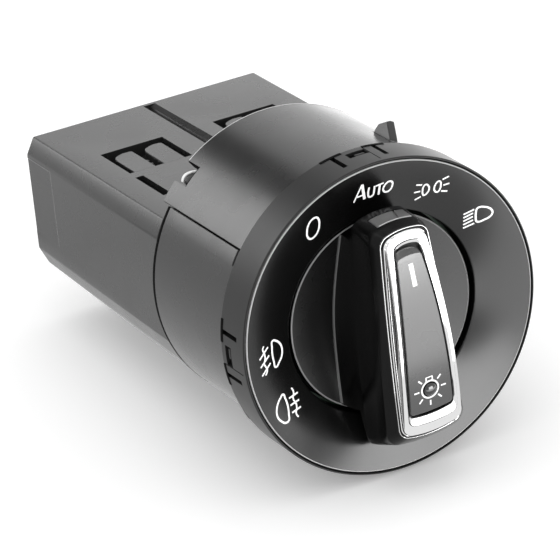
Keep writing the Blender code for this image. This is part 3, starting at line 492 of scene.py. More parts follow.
LETTER_A_THIN = (((-5.72, 30.56), (-3.71, 34.94)), ((-4.92, 31.76), (-3.27, 31.85)))
LETTER_A_THICK = (((-3.66, 34.88), (-2.75, 30.6)),)
LETTER_U = ((-1.66, 33.52), (-1.8, 31.59), (-1.56, 30.86), (-0.96, 30.7), (-0.37, 31.07), (-0.21, 31.9),
            (-0.15, 33.42))
LETTER_T_TOP = (((0.17, 33.26), (2.31, 33.53)),)
LETTER_T_STEM = (((1.27, 33.26), (1.12, 30.6)),)
LETTER_O = ((3.85, 33.5), (4.67, 33.02), (4.71, 32.03), (4.16, 30.98), (3.03, 30.77), (2.36, 31.39),
            (2.41, 32.33), (3.02, 33.16))
letters = bars(LETTER_A_THIN + LETTER_T_TOP, 0.42) + bars(LETTER_A_THICK, 0.74) + bars(LETTER_T_STEM, 0.56)
letters += wave(LETTER_U, 0.5) + outline(LETTER_O, 0.48)
printed("mark_automatic", letters, on_face, "housing")

SIDE_LAMP_LEFT = ((13.64, 29.75), (14.4, 29.14), (14.58, 28.21), (14.13, 27.27), (13.31, 26.84), (13, 27.25),
                  (12.91, 28.29), (13.12, 29.33))
SIDE_LAMP_RIGHT = ((16.96, 29.82), (17.42, 29.52), (17.55, 28.48), (17.35, 27.45), (16.73, 26.86),
                   (16.08, 27.31), (15.9, 28.24), (16.21, 29.18))
SIDE_LAMP_RAYS = (((11.16, 30.28), (12.7, 29.89)), ((10.71, 28.25), (12.28, 28.22)),
                  ((10.99, 26.12), (12.54, 26.67)), ((17.93, 30.04), (19.53, 30.54)),
                  ((18.19, 28.39), (19.7, 28.53)), ((17.71, 26.89), (19.28, 26.46)))
side_lamps = outline(SIDE_LAMP_LEFT, 0.44) + outline(SIDE_LAMP_RIGHT, 0.44) + bars(SIDE_LAMP_RAYS, 0.42)
printed("mark_side_lamps", side_lamps, on_face, "housing")

LOW_BEAM = ((26.85, 19.79), (26.56, 18.66), (26.53, 17.43), (26.73, 16.31), (27.22, 16.08), (28.61, 16.38),
            (29.81, 16.82), (30.47, 17.46), (30.6, 18.17), (30.25, 18.88), (29.56, 19.47), (28.58, 19.89),
            (27.52, 20.07))
LOW_BEAM_RAYS = [((23.53 - k * 0.02, 18.87 - k * 0.93), (25.83 + abs(k - 2) ** 3 * 0.04, 19.71 - k * 0.95))
                 for k in range(5)]
printed("mark_low_beam", outline(LOW_BEAM, 0.5) + bars(LOW_BEAM_RAYS, 0.42), on_face, "housing")

FRONT_FOG = ((-30.84, 2.38), (-31.15, 0.84), (-31.26, -0.95), (-31.05, -2.75), (-30.65, -4.36),
             (-29.39, -3.52), (-28.54, -2.57), (-28.17, -1.44), (-28.16, -0.29), (-28.63, 0.93),
             (-29.58, 1.92))
FRONT_FOG_WAVE = ((-33.66, 2.21), (-34.08, 1.58), (-33.87, 0.67), (-33.61, -0.25), (-33.72, -1.34),
                  (-34.09, -2.12), (-33.72, -3.03), (-33.36, -3.85), (-33.58, -4.63), (-34.1, -5.15))
FRONT_FOG_RAYS = (((-35.34, -0.72), (-32.41, 1.5)), ((-35.29, -2.76), (-32.3, -0.7)),
                  ((-35.15, -4.96), (-32.15, -2.75)))
front_fog = outline(FRONT_FOG, 0.5) + wave(FRONT_FOG_WAVE, 0.42) + bars(FRONT_FOG_RAYS, 0.44)
printed("mark_front_fog", front_fog, on_face, "housing")

REAR_FOG = ((-29.7, -11.76), (-29.25, -12.91), (-28.92, -14.3), (-28.84, -15.77), (-28.98, -17.13),
            (-29.27, -18.39), (-30.36, -18.6), (-31.38, -17.88), (-32.19, -16.82), (-32.48, -15.63),
            (-32.19, -14.27), (-31.49, -13.07), (-30.65, -12.27))
REAR_FOG_WAVE = ((-26.93, -11.18), (-26.48, -12.13), (-26.55, -12.91), (-26.87, -13.49), (-26.84, -14.18),
                 (-26.44, -14.97), (-26.25, -15.86), (-26.43, -16.73), (-26.75, -17.31), (-26.67, -18),
                 (-26.27, -18.64))
REAR_FOG_RAYS = (((-28.12, -13.35), (-25.25, -12.96)), ((-28.05, -15.16), (-25.24, -14.77)),
                 ((-27.94, -17.02), (-25.08, -16.59)))
rear_fog = outline(REAR_FOG, 0.5) + wave(REAR_FOG_WAVE, 0.42) + bars(REAR_FOG_RAYS, 0.44)
printed("mark_rear_fog", rear_fog, on_face, "housing")

# Upper shell of the drum, with the notch for the hook and the slot for the latch
HOOK_NOTCH_DEG = (126.6, 135.6)
upper = swept(band(DRUM_BORE_R, DRUM_R, DRUM_FRONT_Y, UPPER_REAR_Y), (180.0 - SEAM_DEG, SEAM_DEG), 182)
soften(upper, 0.22, 3, 40.0)
notch = swept(band(33.5, 39.0, 37.4, 46.0), HOOK_NOTCH_DEG, 15)
latch_slot = block((-SLOT_HALF_WIDTH, SLOT_Y[0], 32.0), (SLOT_HALF_WIDTH, SLOT_Y[1], 39.0),
                   outward(LATCH_DEG))
upper = carved(upper, [notch, latch_slot])
piece("drum_upper", upper, HOUSING_PBT, "housing", ("barrel_upper",), crease=10.0)

# Lower shell of the drum, with a raised strip beside each seam and a black ring behind it, painted shade
# along its rear edge
STRIP_DEG = 6.2
STRIP_PROFILE = ((DRUM_R - 0.4, 4.0), (DRUM_R + 0.28, 4.3), (DRUM_R + 0.28, 37.2), (DRUM_R - 0.4, 37.6))
lower = swept(band(DRUM_BORE_R, DRUM_R, DRUM_FRONT_Y, LOWER_REAR_Y), LOWER_DEG, 180)
soften(lower, 0.15, 2, 40.0)
strips = []
for start in (LOWER_DEG[0], LOWER_DEG[1] - STRIP_DEG):
    strips.append(soften(swept(STRIP_PROFILE, (start, start + STRIP_DEG), 10), 0.15, 2, 40.0))
piece("drum_lower", merged(lower, *strips), HOUSING_PBT, "housing", ("barrel_lower",),
      crease=10.0)
rear_edge_shade = swept(((35.3, LOWER_REAR_Y + 0.03), (DRUM_R + 0.06, LOWER_REAR_Y + 0.03), (DRUM_R, 39.97),
                (35.3, 39.97)), LOWER_DEG, 180)
piece("drum_rear_shade", rear_edge_shade, BLACK_PBT_AND_SHADE, "housing")

# Painted highlight along the parting edge round the rear of the upper shell, and painted shade on the sides
# of its notch
rear_rim_highlight = swept(band(DRUM_R - 0.2, DRUM_R + 0.03, 43.0, 43.22), (40.0, 126.3), 90)
piece("drum_rim_highlight", rear_rim_highlight, EDGE_HIGHLIGHT, "housing")
notch_side_shade = merged(swept(band(34.9, 37.28, 37.6, 43.0), (126.65, 127.1), 2),
                     swept(band(34.9, 37.28, 37.42, 37.72), (127.15, 135.5), 8))
piece("notch_side_shade", notch_side_shade, BLACK_PBT_AND_SHADE, "housing")

# Hook of the case in the notch of the upper shell, and its light crescent lip, a painted highlight
hook = swept(((DRUM_BORE_R, 37.9), (DRUM_R - 0.9, 37.9), (DRUM_R - 0.35, 40.2), (DRUM_BORE_R, 40.2)),
             (129.4, 134.2), 8)
soften(hook, 0.25, 3, 40.0)
lip_highlight = swept(band(DRUM_BORE_R, DRUM_R - 0.1, 40.6, 41.5), (128.2, 134.8), 8)
for vert in lip_highlight.verts:
    bearing = math.degrees(math.atan2(vert.co.z, vert.co.x))
    vert.co.y -= ((bearing - 132.6) / 2.4) ** 2 * 0.9
piece("hook_lip_highlight", soften(lip_highlight, 0.2, 3, 40.0), EDGE_HIGHLIGHT, "housing")
piece("case_hook", hook, HOUSING_PBT, "housing", ("side_hook",))

# Case behind the drum, tapered towards the connector; the corners are (x, z) points of the right half
CASE_FRONT = ((32.2, CASE_TOP), (34.6, 13.8), (34.6, -13.6), (31.2, -20.4), (26.4, -26.4))
CASE_REAR = ((32.3, 18.1), (34.6, 13.8), (34.6, -12.0), (32.3, -16.9), (28.0, -21.2))
WINDOW_X = (7.3, 24.9)
WINDOW_Y = (72.0, 88.4)
TOP_CUT_Z = (14.6, 21.0)
TOP_GROOVE = ((-1.0, 20.0), (-1.0, 16.8), (0.6, 16.8), (1.0, 17.5), (3.2, 18.5), (3.2, 20.0))
TERMINAL_X = (-20, -10, 0, 10, 20)
TERMINAL_Z = (4.6, -5.6)


def case_outline(half, y):
    """The whole outline of the case at one y."""
    return [Vector((x, y, z)) for x, z in half] + [Vector((-x, y, z)) for x, z in reversed(half)]


def pad_outline(x, front, low, high):
    """The shallow pad in the left side at one depth; it runs out past the rear."""
    corners = ((front, low), (PAST_REAR_Y, low), (PAST_REAR_Y, high), (front, high))
    return [Vector((x, y, z)) for y, z in corners]


case = skin([case_outline(CASE_FRONT, CASE_FRONT_Y), case_outline(CASE_REAR, CASE_REAR_Y)])
soften(case, 0.5, 3, 12.0)
socket = block((-28.5, 93.0, -14.5), (28.5, PAST_REAR_Y, 13.5))
windows = []
for near, far in ((-WINDOW_X[1], -WINDOW_X[0]), WINDOW_X):
    windows.append(block((near, WINDOW_Y[0], TOP_CUT_Z[0]), (far, WINDOW_Y[1], TOP_CUT_Z[1])))
narrow_slot = block((-25.2, 53.6, TOP_CUT_Z[0]), (-23.0, 68.6, TOP_CUT_Z[1]))
side_pad = skin([pad_outline(-35.4, 95.4, -14.0, 15.0), pad_outline(-34.4, 99.6, -7.0, 12.6)])
top_groove = prism(TOP_GROOVE, (-110.6, -44.0), Matrix.Rotation(math.radians(90), 4, "X"))
terminal_holes = [block((x - 1.4, 90.0, z - 0.7), (x + 1.4, 94.0, z + 0.7))
                  for x in TERMINAL_X for z in TERMINAL_Z]
case = carved(case, [socket, *windows, narrow_slot, side_pad, top_groove, *terminal_holes])
spigot = soften(spun(band(31.0, 34.55, 30.0, 41.5), 128), 0.3)
piece("case_moulding", merged(case, spigot), HOUSING_PBT, "housing", ("rear_housing",),
      crease=10.0)

# Contact carrier with two round-cornered pads in each window of the case and small ribs between them
PAD_X = (8.9, 17.3)
PAD_WIDTH = 6.1
RIGHT_PAD_SHIFT = 1.2
RIB_X = 16.1
RIB_Y = (75.0, 77.6, 80.0)


def raised_pad(near, shift):
    """One pad, square in front and rounded behind, more on its near side."""
    far = near + PAD_WIDTH
    points = ((near, 72.6), (far, 72.6), (far, 85.6), (far - 0.6, 86.0), (far - 2.6, 86.1),
              (near + 2.4, 85.7), (near + 1.0, 84.9), (near + 0.25, 83.6), (near, 82.2))
    return soften(prism([(x, y + shift) for x, y in points], (14.0, 17.95)), 0.18, 2, 50.0)


carrier = [soften(block((-29.6, 62.0, -11.0), (29.6, 86.6, 14.3)), 0.4)]
carrier += [raised_pad(-x - PAD_WIDTH, 0.0) for x in PAD_X]
carrier += [raised_pad(x, RIGHT_PAD_SHIFT) for x in PAD_X]
for x in (-RIB_X, RIB_X):
    carrier += [soften(block((x - 0.55, y - 0.6, 14.0), (x + 0.55, y + 0.5, 16.8)), 0.15) for y in RIB_Y]
piece("contact_block", merged(*carrier), HOUSING_PBT, "housing", ("contact_carrier",),
      crease=12.0)

# Knob disc in the well of the face: a shallow dish with a small bright rim, a painted highlight
disc = spun(((0.0, DISH_FLOOR_Y), (HUB_R, DISH_FLOOR_Y), (DISC_R - 0.42, DISC_RIM_Y + 0.42 * DISC_DISH),
             (DISC_R - 0.3, DISC_RIM_Y + 0.1), (DISC_R - 0.06, DISC_RIM_Y + 0.24), (DISC_R, DISC_RIM_Y + 0.4),
             (DISC_R, -1.3), (HUB_R, -1.3), (HUB_R, 6.0), (0.0, 6.0)), 192, closed=False)
piece("knob_plate", disc, DISC_ABS, "knob", ("knob_disc",), matrix=KNOB_TURN)
disc_rim_highlight = spun(((DISC_R - 0.4, DISC_RIM_Y + 0.08), (DISC_R - 0.3, DISC_RIM_Y + 0.04),
                 (DISC_R - 0.06, DISC_RIM_Y + 0.18), (DISC_R - 0.02, DISC_RIM_Y + 0.4),
                 (DISC_R - 0.4, DISC_RIM_Y + 0.4)), 192)
piece("disc_rim_highlight", disc_rim_highlight, RIM_HIGHLIGHT, "knob", matrix=KNOB_TURN)


# Outlines of the knob, seen from the front; a half width is (at the middle, per z, per z squared)
CORNER_STEPS = 14


def half_width(half, z):
    """Half the width of the bar at a height."""
    return half[0] + half[1] * z + half[2] * z * z


def bar_outline(half, top, bottom, corner, height, bow=0.7):
    """A long rounded outline: curved tapering sides, bowed ends and tangent corners."""
    def end_arc(tip, way):
        side_z = tip - way * (bow + corner)
        centre_x = half_width(half, side_z) - corner
        lean = math.atan(2 * bow / centre_x)
        arc = []
        for k in range(CORNER_STEPS + 1):
            a = (math.pi / 2 - lean) * k / CORNER_STEPS
            arc.append((centre_x + corner * math.cos(a), side_z + way * corner * math.sin(a)))
        end_x, end_z = arc[-1]
        for t in (0.75, 0.5, 0.25, 0.0):
            arc.append((end_x * t, end_z + way * bow * (1 - t * t)))
        return arc

    top_arc = end_arc(top, 1)
    bottom_arc = end_arc(bottom, -1)
    low, high = bottom_arc[0][1], top_arc[0][1]
    sides = [low + (high - low) * k / 24 for k in range(1, 24)]
    right = bottom_arc[::-1] + [(half_width(half, z), z) for z in sides] + top_arc
    left = [(-x, z) for x, z in reversed(right[1:-1])]
    return [Vector((x, height(x, z), z)) for x, z in right + left]


def recess_outline(half, radius, height):
    """The bar inside the recess: tapering sides between two arcs of the disc."""
    def corner_z(way):
        near, far = 0.0, radius
        for _ in range(40):
            middle = (near + far) / 2
            if half_width(half, way * middle) ** 2 + middle ** 2 < radius ** 2:
                near = middle
            else:
                far = middle
        return way * near

    low_z, high_z = corner_z(-1), corner_z(1)
    low, high = [math.atan2(half_width(half, z), abs(z)) for z in (low_z, high_z)]
    sides = [low_z + (high_z - low_z) * k / 24 for k in range(1, 24)]
    right = [(radius * math.sin(low * k / 18), -radius * math.cos(low * k / 18)) for k in range(19)]
    right += [(half_width(half, z), z) for z in sides]
    right += [(radius * math.sin(high * k / 18), radius * math.cos(high * k / 18)) for k in range(18, -1, -1)]
    left = [(-x, z) for x, z in reversed(right[1:-1])]
    return [Vector((x, height(x, z), z)) for x, z in right + left]


def level(y):
    """The same y everywhere."""
    return lambda x, z: y


def crest(drop):
    """The arched top line of the bar, a little below or above it."""
    return lambda x, z: -26.9 + 0.0039 * z * z + drop


def above_dish(rise):
    """The surface of the disc, a little above it."""
    def height(x, z):
        return min(DISC_RIM_Y + DISC_DISH * (DISC_R - math.hypot(x, z)), DISH_FLOOR_Y) - rise
    return height


def bar_skin(sections, around=False):
    """A skin through sections of (half at the middle, taper, top, bottom, corner, height, bow)."""
    loops = [bar_outline((half, *taper), top, bottom, corner, height, bow)
             for half, taper, top, bottom, corner, height, bow in sections]
    return skin(loops, around)


# Bar of the knob: it stands on the disc, overhangs the face and ends in a chamfered shoulder. Its foot is
# (rise over the disc, half width, radius), its neck (y, half width, radius) and its grip (y, half width,
# top, bottom, corner)
FOOT_SECTIONS = (
    (0.0, (11.15, -0.152, 0.0), 24.3),
    (0.3, (10.95, -0.15, 0.0), 24.3),
)
RECESS_SECTIONS = (
    (-7.4, (10.7, -0.126, -0.0004), 24.3),
    (-9.0, (10.4, -0.106, -0.0007), 24.2),
    (-10.4, (10.15, -0.09, -0.0009), 23.9),
)
GRIP_SECTIONS = (
    (-11.2, (10.05, -0.08, -0.0012), 27.6, -30.0, 2.2),
    (-11.6, (10.0, -0.08, -0.0012), 28.4, -30.8, 2.3),
    (-12.0, (9.98, -0.08, -0.0012), 28.6, -31.05, 2.4),
    (-14.0, (9.75, -0.074, -0.0009), 28.6, -30.6, 2.7),
    (-17.0, (9.5, -0.067, -0.0005), 28.4, -29.7, 3.1),
    (-20.1, (9.28, -0.061, -0.0002), 28.15, -28.8, 3.6),
    (-20.5, (9.2, -0.06, -0.0002), 28.05, -28.65, 3.6),
    (-22.0, (8.5, -0.052, -0.0004), 27.9, -27.5, 3.3),
    (-23.1, (7.95, -0.044, -0.0005), 27.75, -26.35, 3.1),
)
foot = [recess_outline(half, radius, above_dish(rise)) for rise, half, radius in FOOT_SECTIONS]
neck = [recess_outline(half, radius, level(y)) for y, half, radius in RECESS_SECTIONS]
grip = [bar_outline(half, top, bottom, corner, level(y)) for y, half, top, bottom, corner in GRIP_SECTIONS]
bar = skin(foot + neck + grip)
rear_cap = max((f for f in bar.faces if len(f.verts) > 10), key=lambda f: f.calc_center_median().y)
cap_middle = bmesh.ops.poke(bar, faces=[rear_cap])["verts"][0]
cap_middle.co = (0.0, DISH_FLOOR_Y, 0.0)
tip_pocket = block((-4.1, -18.98, 26.4), (5.55, -14.3, 34.0))
bar = carved(bar, [tip_pocket])

# Thin grey line where the bar rises from the disc, a painted highlight, as (half width at the middle, rise
# over the disc)
CREASE_SECTIONS = ((11.5, -0.02), (11.5, 0.03), (11.2, 0.06), (10.98, 0.34), (10.85, 0.34), (10.85, -0.02))
creases = [recess_outline((half, -0.152, 0.0), 24.05, above_dish(rise)) for half, rise in CREASE_SECTIONS]
crease_highlight_strip = skin(creases, around=True)
piece("bar_crease_highlight", crease_highlight_strip, CREASE_HIGHLIGHT, "knob", matrix=KNOB_TURN)
piece("knob_bar", bar, KNOB_ABS, "knob", ("knob_grip",), matrix=KNOB_TURN, crease=15.0)

# Tip lens: two windows, flush with the end of the bar, with a slanting rib between them
LENS_X = (-3.98, 5.45)
LENS_Y = (-18.86, -14.42)
LENS_BACK_Z = 26.9
RIB_HALF = 0.12


def rib_x(y):
    """The middle of the rib."""
    return 2.4 + 0.228 * (y + 16.5)


def lens_point(x, y):
    """A point on the bowed front of the lens."""
    return Vector((x, y, 28.3 + 0.075 * (y + 16.8) - 0.0237 * x * x))


def window(left, right):
    """One window of the lens between two sides, each given as x at a y."""
    loops = []
    for k in range(9):
        front = [lens_point(left(y) + (right(y) - left(y)) * k / 8, y) for y in LENS_Y]
        loops.append([Vector((p.x, p.y, LENS_BACK_Z)) for p in front] + front[::-1])
    return soften(skin(loops), 0.25, 3, 40.0)


tip_window = merged(window(lambda y: LENS_X[0], lambda y: rib_x(y) - RIB_HALF),
                    window(lambda y: rib_x(y) + RIB_HALF, lambda y: LENS_X[1]))
# Light strip along the front edge of the window: a painted highlight
LENS_RIM = ((0, -0.03, -0.25), (0, -0.03, 0.03), (0, 0.16, 0.03), (0, 0.16, -0.25))
rim_places = [lens_point(-3.5 + k * 0.725, -18.84) for k in range(13)]
window_rim_highlight = skin([[place + Vector(step) for step in LENS_RIM] for place in rim_places])
piece("window_rim_highlight", window_rim_highlight, LENS_EDGE_HIGHLIGHT, "knob", matrix=KNOB_TURN)
piece("tip_window", tip_window, LENS_PC, "knob", ("tip_lens",), matrix=KNOB_TURN)

# Chrome frame, from its outside inwards: thin flange, groove, steep outer wall, crest and inner bevel
LIP = (-0.044, -0.0005)
WALL = (-0.05, -0.0007)
CREST = (-0.053, -0.0007)
OPENING = (-0.0575, -0.002)
SEAM = (-0.0575, -0.0019)
STEP = (-0.06, -0.0015)
FRAME_SECTIONS = (
    (7.95, LIP, 27.75, -26.35, 3.1, level(-23.05), 0.7),
    (7.95, LIP, 27.75, -26.35, 3.1, level(-23.44), 0.7),
    (7.9, LIP, 27.7, -26.3, 3.05, level(-23.52), 0.7),
    (7.84, LIP, 27.63, -26.23, 3.0, level(-23.52), 0.7),
    (7.78, LIP, 27.57, -26.17, 2.95, level(-23.44), 0.7),
    (7.78, LIP, 27.57, -26.17, 2.95, level(-22.7), 0.7),
    (7.4, WALL, 27.2, -25.8, 2.8, level(-22.7), 0.7),
    (7.4, WALL, 27.2, -25.8, 2.8, level(-23.42), 0.7),
    (7.37, WALL, 27.16, -25.76, 2.77, level(-23.6), 0.7),
    (7.27, WALL, 27.06, -25.66, 2.7, level(-23.72), 0.7),
    (7.2, WALL, 26.98, -25.58, 2.65, level(-23.8), 0.7),
    (7.14, WALL, 26.9, -25.5, 2.62, crest(0.6), 0.7),
    (7.06, CREST, 26.8, -25.4, 2.6, crest(0.2), 0.7),
    (7.0, CREST, 26.72, -25.32, 2.5, crest(0.06), 0.7),
    (6.88, CREST, 26.6, -25.2, 2.4, crest(0.0), 0.7),
    (6.41, OPENING, 25.15, -22.7, 2.1, crest(0.0), 0.5),
    (6.2, SEAM, 24.9, -22.45, 1.9, crest(0.06), 0.5),
    (6.12, SEAM, 24.8, -22.35, 1.85, crest(0.12), 0.5),
    (5.62, STEP, 24.05, -20.75, 1.5, crest(0.5), 0.5),
    (5.54, STEP, 23.95, -20.65, 1.45, crest(0.65), 0.5),
    (5.52, STEP, 23.92, -20.6, 1.4, level(-22.7), 0.5),
)

# Black line round the frame's opening, painted shade, which dies out on its right side
LINE_SHIFT = Vector((0.1, 0, 0))


def line_outlines(drop):
    """The outer and the inner edge of the painted shade line at one height."""
    outer = bar_outline((6.41, *OPENING), 25.15, -22.7, 2.1, crest(drop), 0.5)
    inner = bar_outline((6.3, *OPENING), 24.9, -22.62, 2.05, crest(drop), 0.5)
    return outer, [point + LINE_SHIFT for point in inner]


(low_outer, low_inner), (high_outer, high_inner) = line_outlines(0.05), line_outlines(-0.012)
opening_shade_line = skin([low_outer, high_outer, high_inner, low_inner], around=True)
piece("frame_opening_shade", opening_shade_line, BLACK_PBT_AND_SHADE, "knob", matrix=KNOB_TURN)
plating = bar_skin(FRAME_SECTIONS, around=True)
piece("frame_plating", plating, CHROME, "knob", ("chrome_frame",), matrix=KNOB_TURN,
      crease=18.0)

# Smoked insert: a raised pad with chamfered edges inside the frame, and a hole for the dome
BULB_Z = -13.5
BULB_X = -0.35
DOME_R = 1.7
DOME_RISE = 1.0
PAD = (-0.06, -0.0013)
INSERT_SECTIONS = (
    (5.15, PAD, 22.75, -20.2, 1.2, level(-22.9), 0.4),
    (5.15, PAD, 22.7, -20.2, 1.2, crest(1.3), 0.4),
    (5.12, PAD, 22.5, -20.1, 1.1, crest(1.1), 0.4),
    (5.12, PAD, 21.45, -19.42, 0.95, crest(0.14), 0.3),
    (5.06, PAD, 21.3, -19.3, 0.9, crest(0.03), 0.3),
    (4.96, PAD, 21.18, -19.2, 0.85, crest(0.0), 0.3),
    (4.7, PAD, 20.9, -18.95, 0.7, crest(0.0), 0.3),
)
insert = bar_skin(INSERT_SECTIONS)
bmesh.ops.translate(insert, verts=insert.verts, vec=(-0.2, 0, 0))
for z in range(-18, 21):
    sliced(insert, (0, 0, z), (0, 0, 1))
dome_hole = spun(((0.0, -30.0), (1.95, -30.0), (1.95, -22.0), (0.0, -22.0)), 48, closed=False)
bmesh.ops.translate(dome_hole, verts=dome_hole.verts, vec=(BULB_X, 0, BULB_Z))
insert = carved(insert, [dome_hole])
piece("insert_pad", insert, INSERT_PMMA, "knob", ("insert_panel",), matrix=KNOB_TURN,
      crease=14.0)

# Domed indicator
on_insert = crest(0.0)
dome_foot = on_insert(0, BULB_Z)
dome_angles = [k * math.pi / 16 for k in range(9)]
dome_arc = [(DOME_R * math.cos(a), dome_foot - DOME_RISE * math.sin(a)) for a in dome_angles]
dome = spun([(0.0, -23.4), (DOME_R, -23.4), *dome_arc], 48, closed=False)
bmesh.ops.translate(dome, verts=dome.verts, vec=(BULB_X, 0, BULB_Z))
piece("indicator_cap", dome, DOME_ABS, "knob", ("indicator_dome",), matrix=KNOB_TURN)


# Bulb symbol with its rays round the dome, and the white pointer
def round_bulb(radius, degrees):
    """A point round the middle of the bulb."""
    a = math.radians(degrees)
    return BULB_X + radius * math.cos(a), BULB_Z + radius * math.sin(a)


bulb_cap = [(BULB_X + x, BULB_Z + z) for x, z in ((-0.85, 2.2), (-0.85, 3.3), (0.85, 3.3), (0.85, 2.2))]
bulb_rays = [(round_bulb(3.0, 45 * step - 2), round_bulb(4.35, 45 * step - 2)) for step in range(-5, 2)]
bulb = outline([round_bulb(2.25, 30 * k) for k in range(12)], 0.42)
bulb += [(bulb_cap, 0.4, False, False)] + bars(bulb_rays, 0.4)
printed("mark_bulb", bulb, on_insert, "knob", KNOB_TURN)
printed("mark_pointer", bars((((-0.25, 13.6), (-0.25, 19.2)),), 1.2), on_insert, "knob", KNOB_TURN)

# Latch lug in its slot: a ramp that falls to the front, with its rear left corner cut off on a slant
LUG_OUTLINE = ((-LATCH_HALF_LENGTH, 26.0), (LATCH_HALF_LENGTH, 26.0), (LATCH_HALF_LENGTH, 38.1), (3.25, 39.5),
               (1.55, 41.3), (0.55, 41.5), (-3.35, 38.1), (-LATCH_HALF_LENGTH, 37.5))
CORNER_POINT = (3.34, 39.5, -1.2)
CORNER_NORMAL = (1.452, 2.826, -1.405)
ALONG_AND_OUT = Matrix(((0, 0, 1, 0), (1, 0, 0, 0), (0, 1, 0, 0), (0, 0, 0, 1)))
latch = prism(LUG_OUTLINE, (-LATCH_HALF_WIDTH, LATCH_HALF_WIDTH))
sliced(latch, CORNER_POINT, CORNER_NORMAL, clear=True)
close_ends(latch)
bmesh.ops.transform(latch, matrix=outward(LATCH_DEG, LATCH_Y) @ ALONG_AND_OUT, verts=latch.verts)
soften(latch, 0.25, 2, 30.0)
piece("latch_moulding", latch, HOUSING_PBT, "latch", ("latch_lug",), crease=12.0)

# White paper of the sweep: matt, faintly fibrous, and a little brighter to the camera than it is lit
paper = bpy.data.materials.new("white_paper_sweep")
paper.use_nodes = True
paper_tree = paper.node_tree
sheet = paper_tree.nodes["Principled BSDF"]
sheet.inputs["Base Color"].default_value = linear("#f6f6f6")
sheet.inputs["Roughness"].default_value = 1.0
sheet.inputs["Emission Color"].default_value = (1, 1, 1, 1)
paper_place = add(paper_tree, "ShaderNodeTexCoord")
fibres = add(paper_tree, "ShaderNodeTexNoise", values={"Scale": 900.0, "Detail": 2.0},
             links={"Vector": paper_place.outputs["Object"]})
fibre_relief = add(paper_tree, "ShaderNodeBump", values={"Strength": 0.3, "Distance": 0.02 * MM},
                   links={"Height": fibres.outputs["Fac"]})
paper_ray = add(paper_tree, "ShaderNodeLightPath")
glow = add(paper_tree, "ShaderNodeMath", {"operation": "MULTIPLY"}, {1: 0.2},
           {0: paper_ray.outputs["Is Camera Ray"]})
paper_tree.links.new(fibre_relief.outputs["Normal"], sheet.inputs["Normal"])
paper_tree.links.new(glow.outputs[0], sheet.inputs["Emission Strength"])

# Floor under the switch as it lies: on the bezel's rear edge and the drum's rear edge, as (y, radius)
REST_FRONT = (0.1, 40.04)
REST_REAR = (39.97, 37.3)
FLOOR_DROP = 40.1 * MM
FLOOR_Y = 50.0 * MM
FLOOR_HALF_SIZE = 3.0
floor_tilt = math.atan2(REST_FRONT[1] - REST_REAR[1], REST_REAR[0] - REST_FRONT[0])
floor_turn = Matrix.Rotation(floor_tilt, 4, "X")
floor_place = Matrix.Translation((0, FLOOR_Y, FLOOR_Y * math.tan(floor_tilt) - FLOOR_DROP)) @ floor_turn
floor_shape = bmesh.new()
bmesh.ops.create_grid(floor_shape, x_segments=1, y_segments=1, size=FLOOR_HALF_SIZE)
bmesh.ops.transform(floor_shape, matrix=floor_place, verts=floor_shape.verts)
floor_mesh = bpy.data.meshes.new("floor")
floor_shape.to_mesh(floor_mesh)
floor_shape.free()
floor_mesh.materials.append(paper)
floor = bpy.data.objects.new("floor", floor_mesh)
bpy.context.collection.objects.link(floor)
# The reflector cards reach below the floor, so it neither hides nor shades them
floor.visible_glossy = False
floor.visible_shadow = False

# World: even white studio light with a dark flag high behind the switch; the camera sees plain white
FLAG_BEARING_DEG = -1
FLAG_HALF_DEG = (6, 12)
FLAG_HEIGHT = 0.56
FLAG_HALF_HEIGHT = (0.18, 0.3)
WORLD_LEVEL = (0.02, 0.95)
world = bpy.data.worlds.new("studio")
bpy.context.scene.world = world
world.use_nodes = True
sky = world.node_tree
sky.nodes.clear()
sky_place = add(sky, "ShaderNodeTexCoord")
axes = add(sky, "ShaderNodeSeparateXYZ", links={"Vector": sky_place.outputs["Generated"]})
sky_bearing = add(sky, "ShaderNodeMath", {"operation": "ARCTAN2"},
                  links={0: axes.outputs["X"], 1: axes.outputs["Y"]})
off_side = add(sky, "ShaderNodeMath", {"operation": "SUBTRACT"}, {1: math.radians(FLAG_BEARING_DEG)},
               {0: sky_bearing.outputs[0]})
side_distance = add(sky, "ShaderNodeMath", {"operation": "ABSOLUTE"}, links={0: off_side.outputs[0]})
side_edge = add(sky, "ShaderNodeMapRange", {"interpolation_type": "SMOOTHSTEP"},
                {"From Min": math.radians(FLAG_HALF_DEG[0]), "From Max": math.radians(FLAG_HALF_DEG[1])},
                {"Value": side_distance.outputs[0]})
off_height = add(sky, "ShaderNodeMath", {"operation": "SUBTRACT"}, {1: FLAG_HEIGHT}, {0: axes.outputs["Z"]})
height_distance = add(sky, "ShaderNodeMath", {"operation": "ABSOLUTE"}, links={0: off_height.outputs[0]})
height_edge = add(sky, "ShaderNodeMapRange", {"interpolation_type": "SMOOTHSTEP"},
                  {"From Min": FLAG_HALF_HEIGHT[0], "From Max": FLAG_HALF_HEIGHT[1]},
                  {"Value": height_distance.outputs[0]})
beside_flag = add(sky, "ShaderNodeMath", {"operation": "MAXIMUM"},
                  links={0: side_edge.outputs[0], 1: height_edge.outputs[0]})
studio_level = add(sky, "ShaderNodeMapRange", values={"To Min": WORLD_LEVEL[0], "To Max": WORLD_LEVEL[1]},
                   links={"Value": beside_flag.outputs[0]})
sky_ray = add(sky, "ShaderNodeLightPath")
strength = add(sky, "ShaderNodeMath", {"operation": "MAXIMUM"},
               links={0: sky_ray.outputs["Is Camera Ray"], 1: studio_level.outputs["Result"]})
studio = add(sky, "ShaderNodeBackground", values={"Color": (1, 1, 1, 1)},
             links={"Strength": strength.outputs[0]})
add(sky, "ShaderNodeOutputWorld", links={"Surface": studio.outputs["Background"]})


# Soft lights, placed and measured in metres; all but the one overhead show in the gloss only
DRUM_MIDDLE = (0, 0.02, 0)
CARD_SLOPE = Matrix.Translation((0, 0.05, -0.0319)) @ Matrix.Rotation(math.radians(9.51), 4, "X")


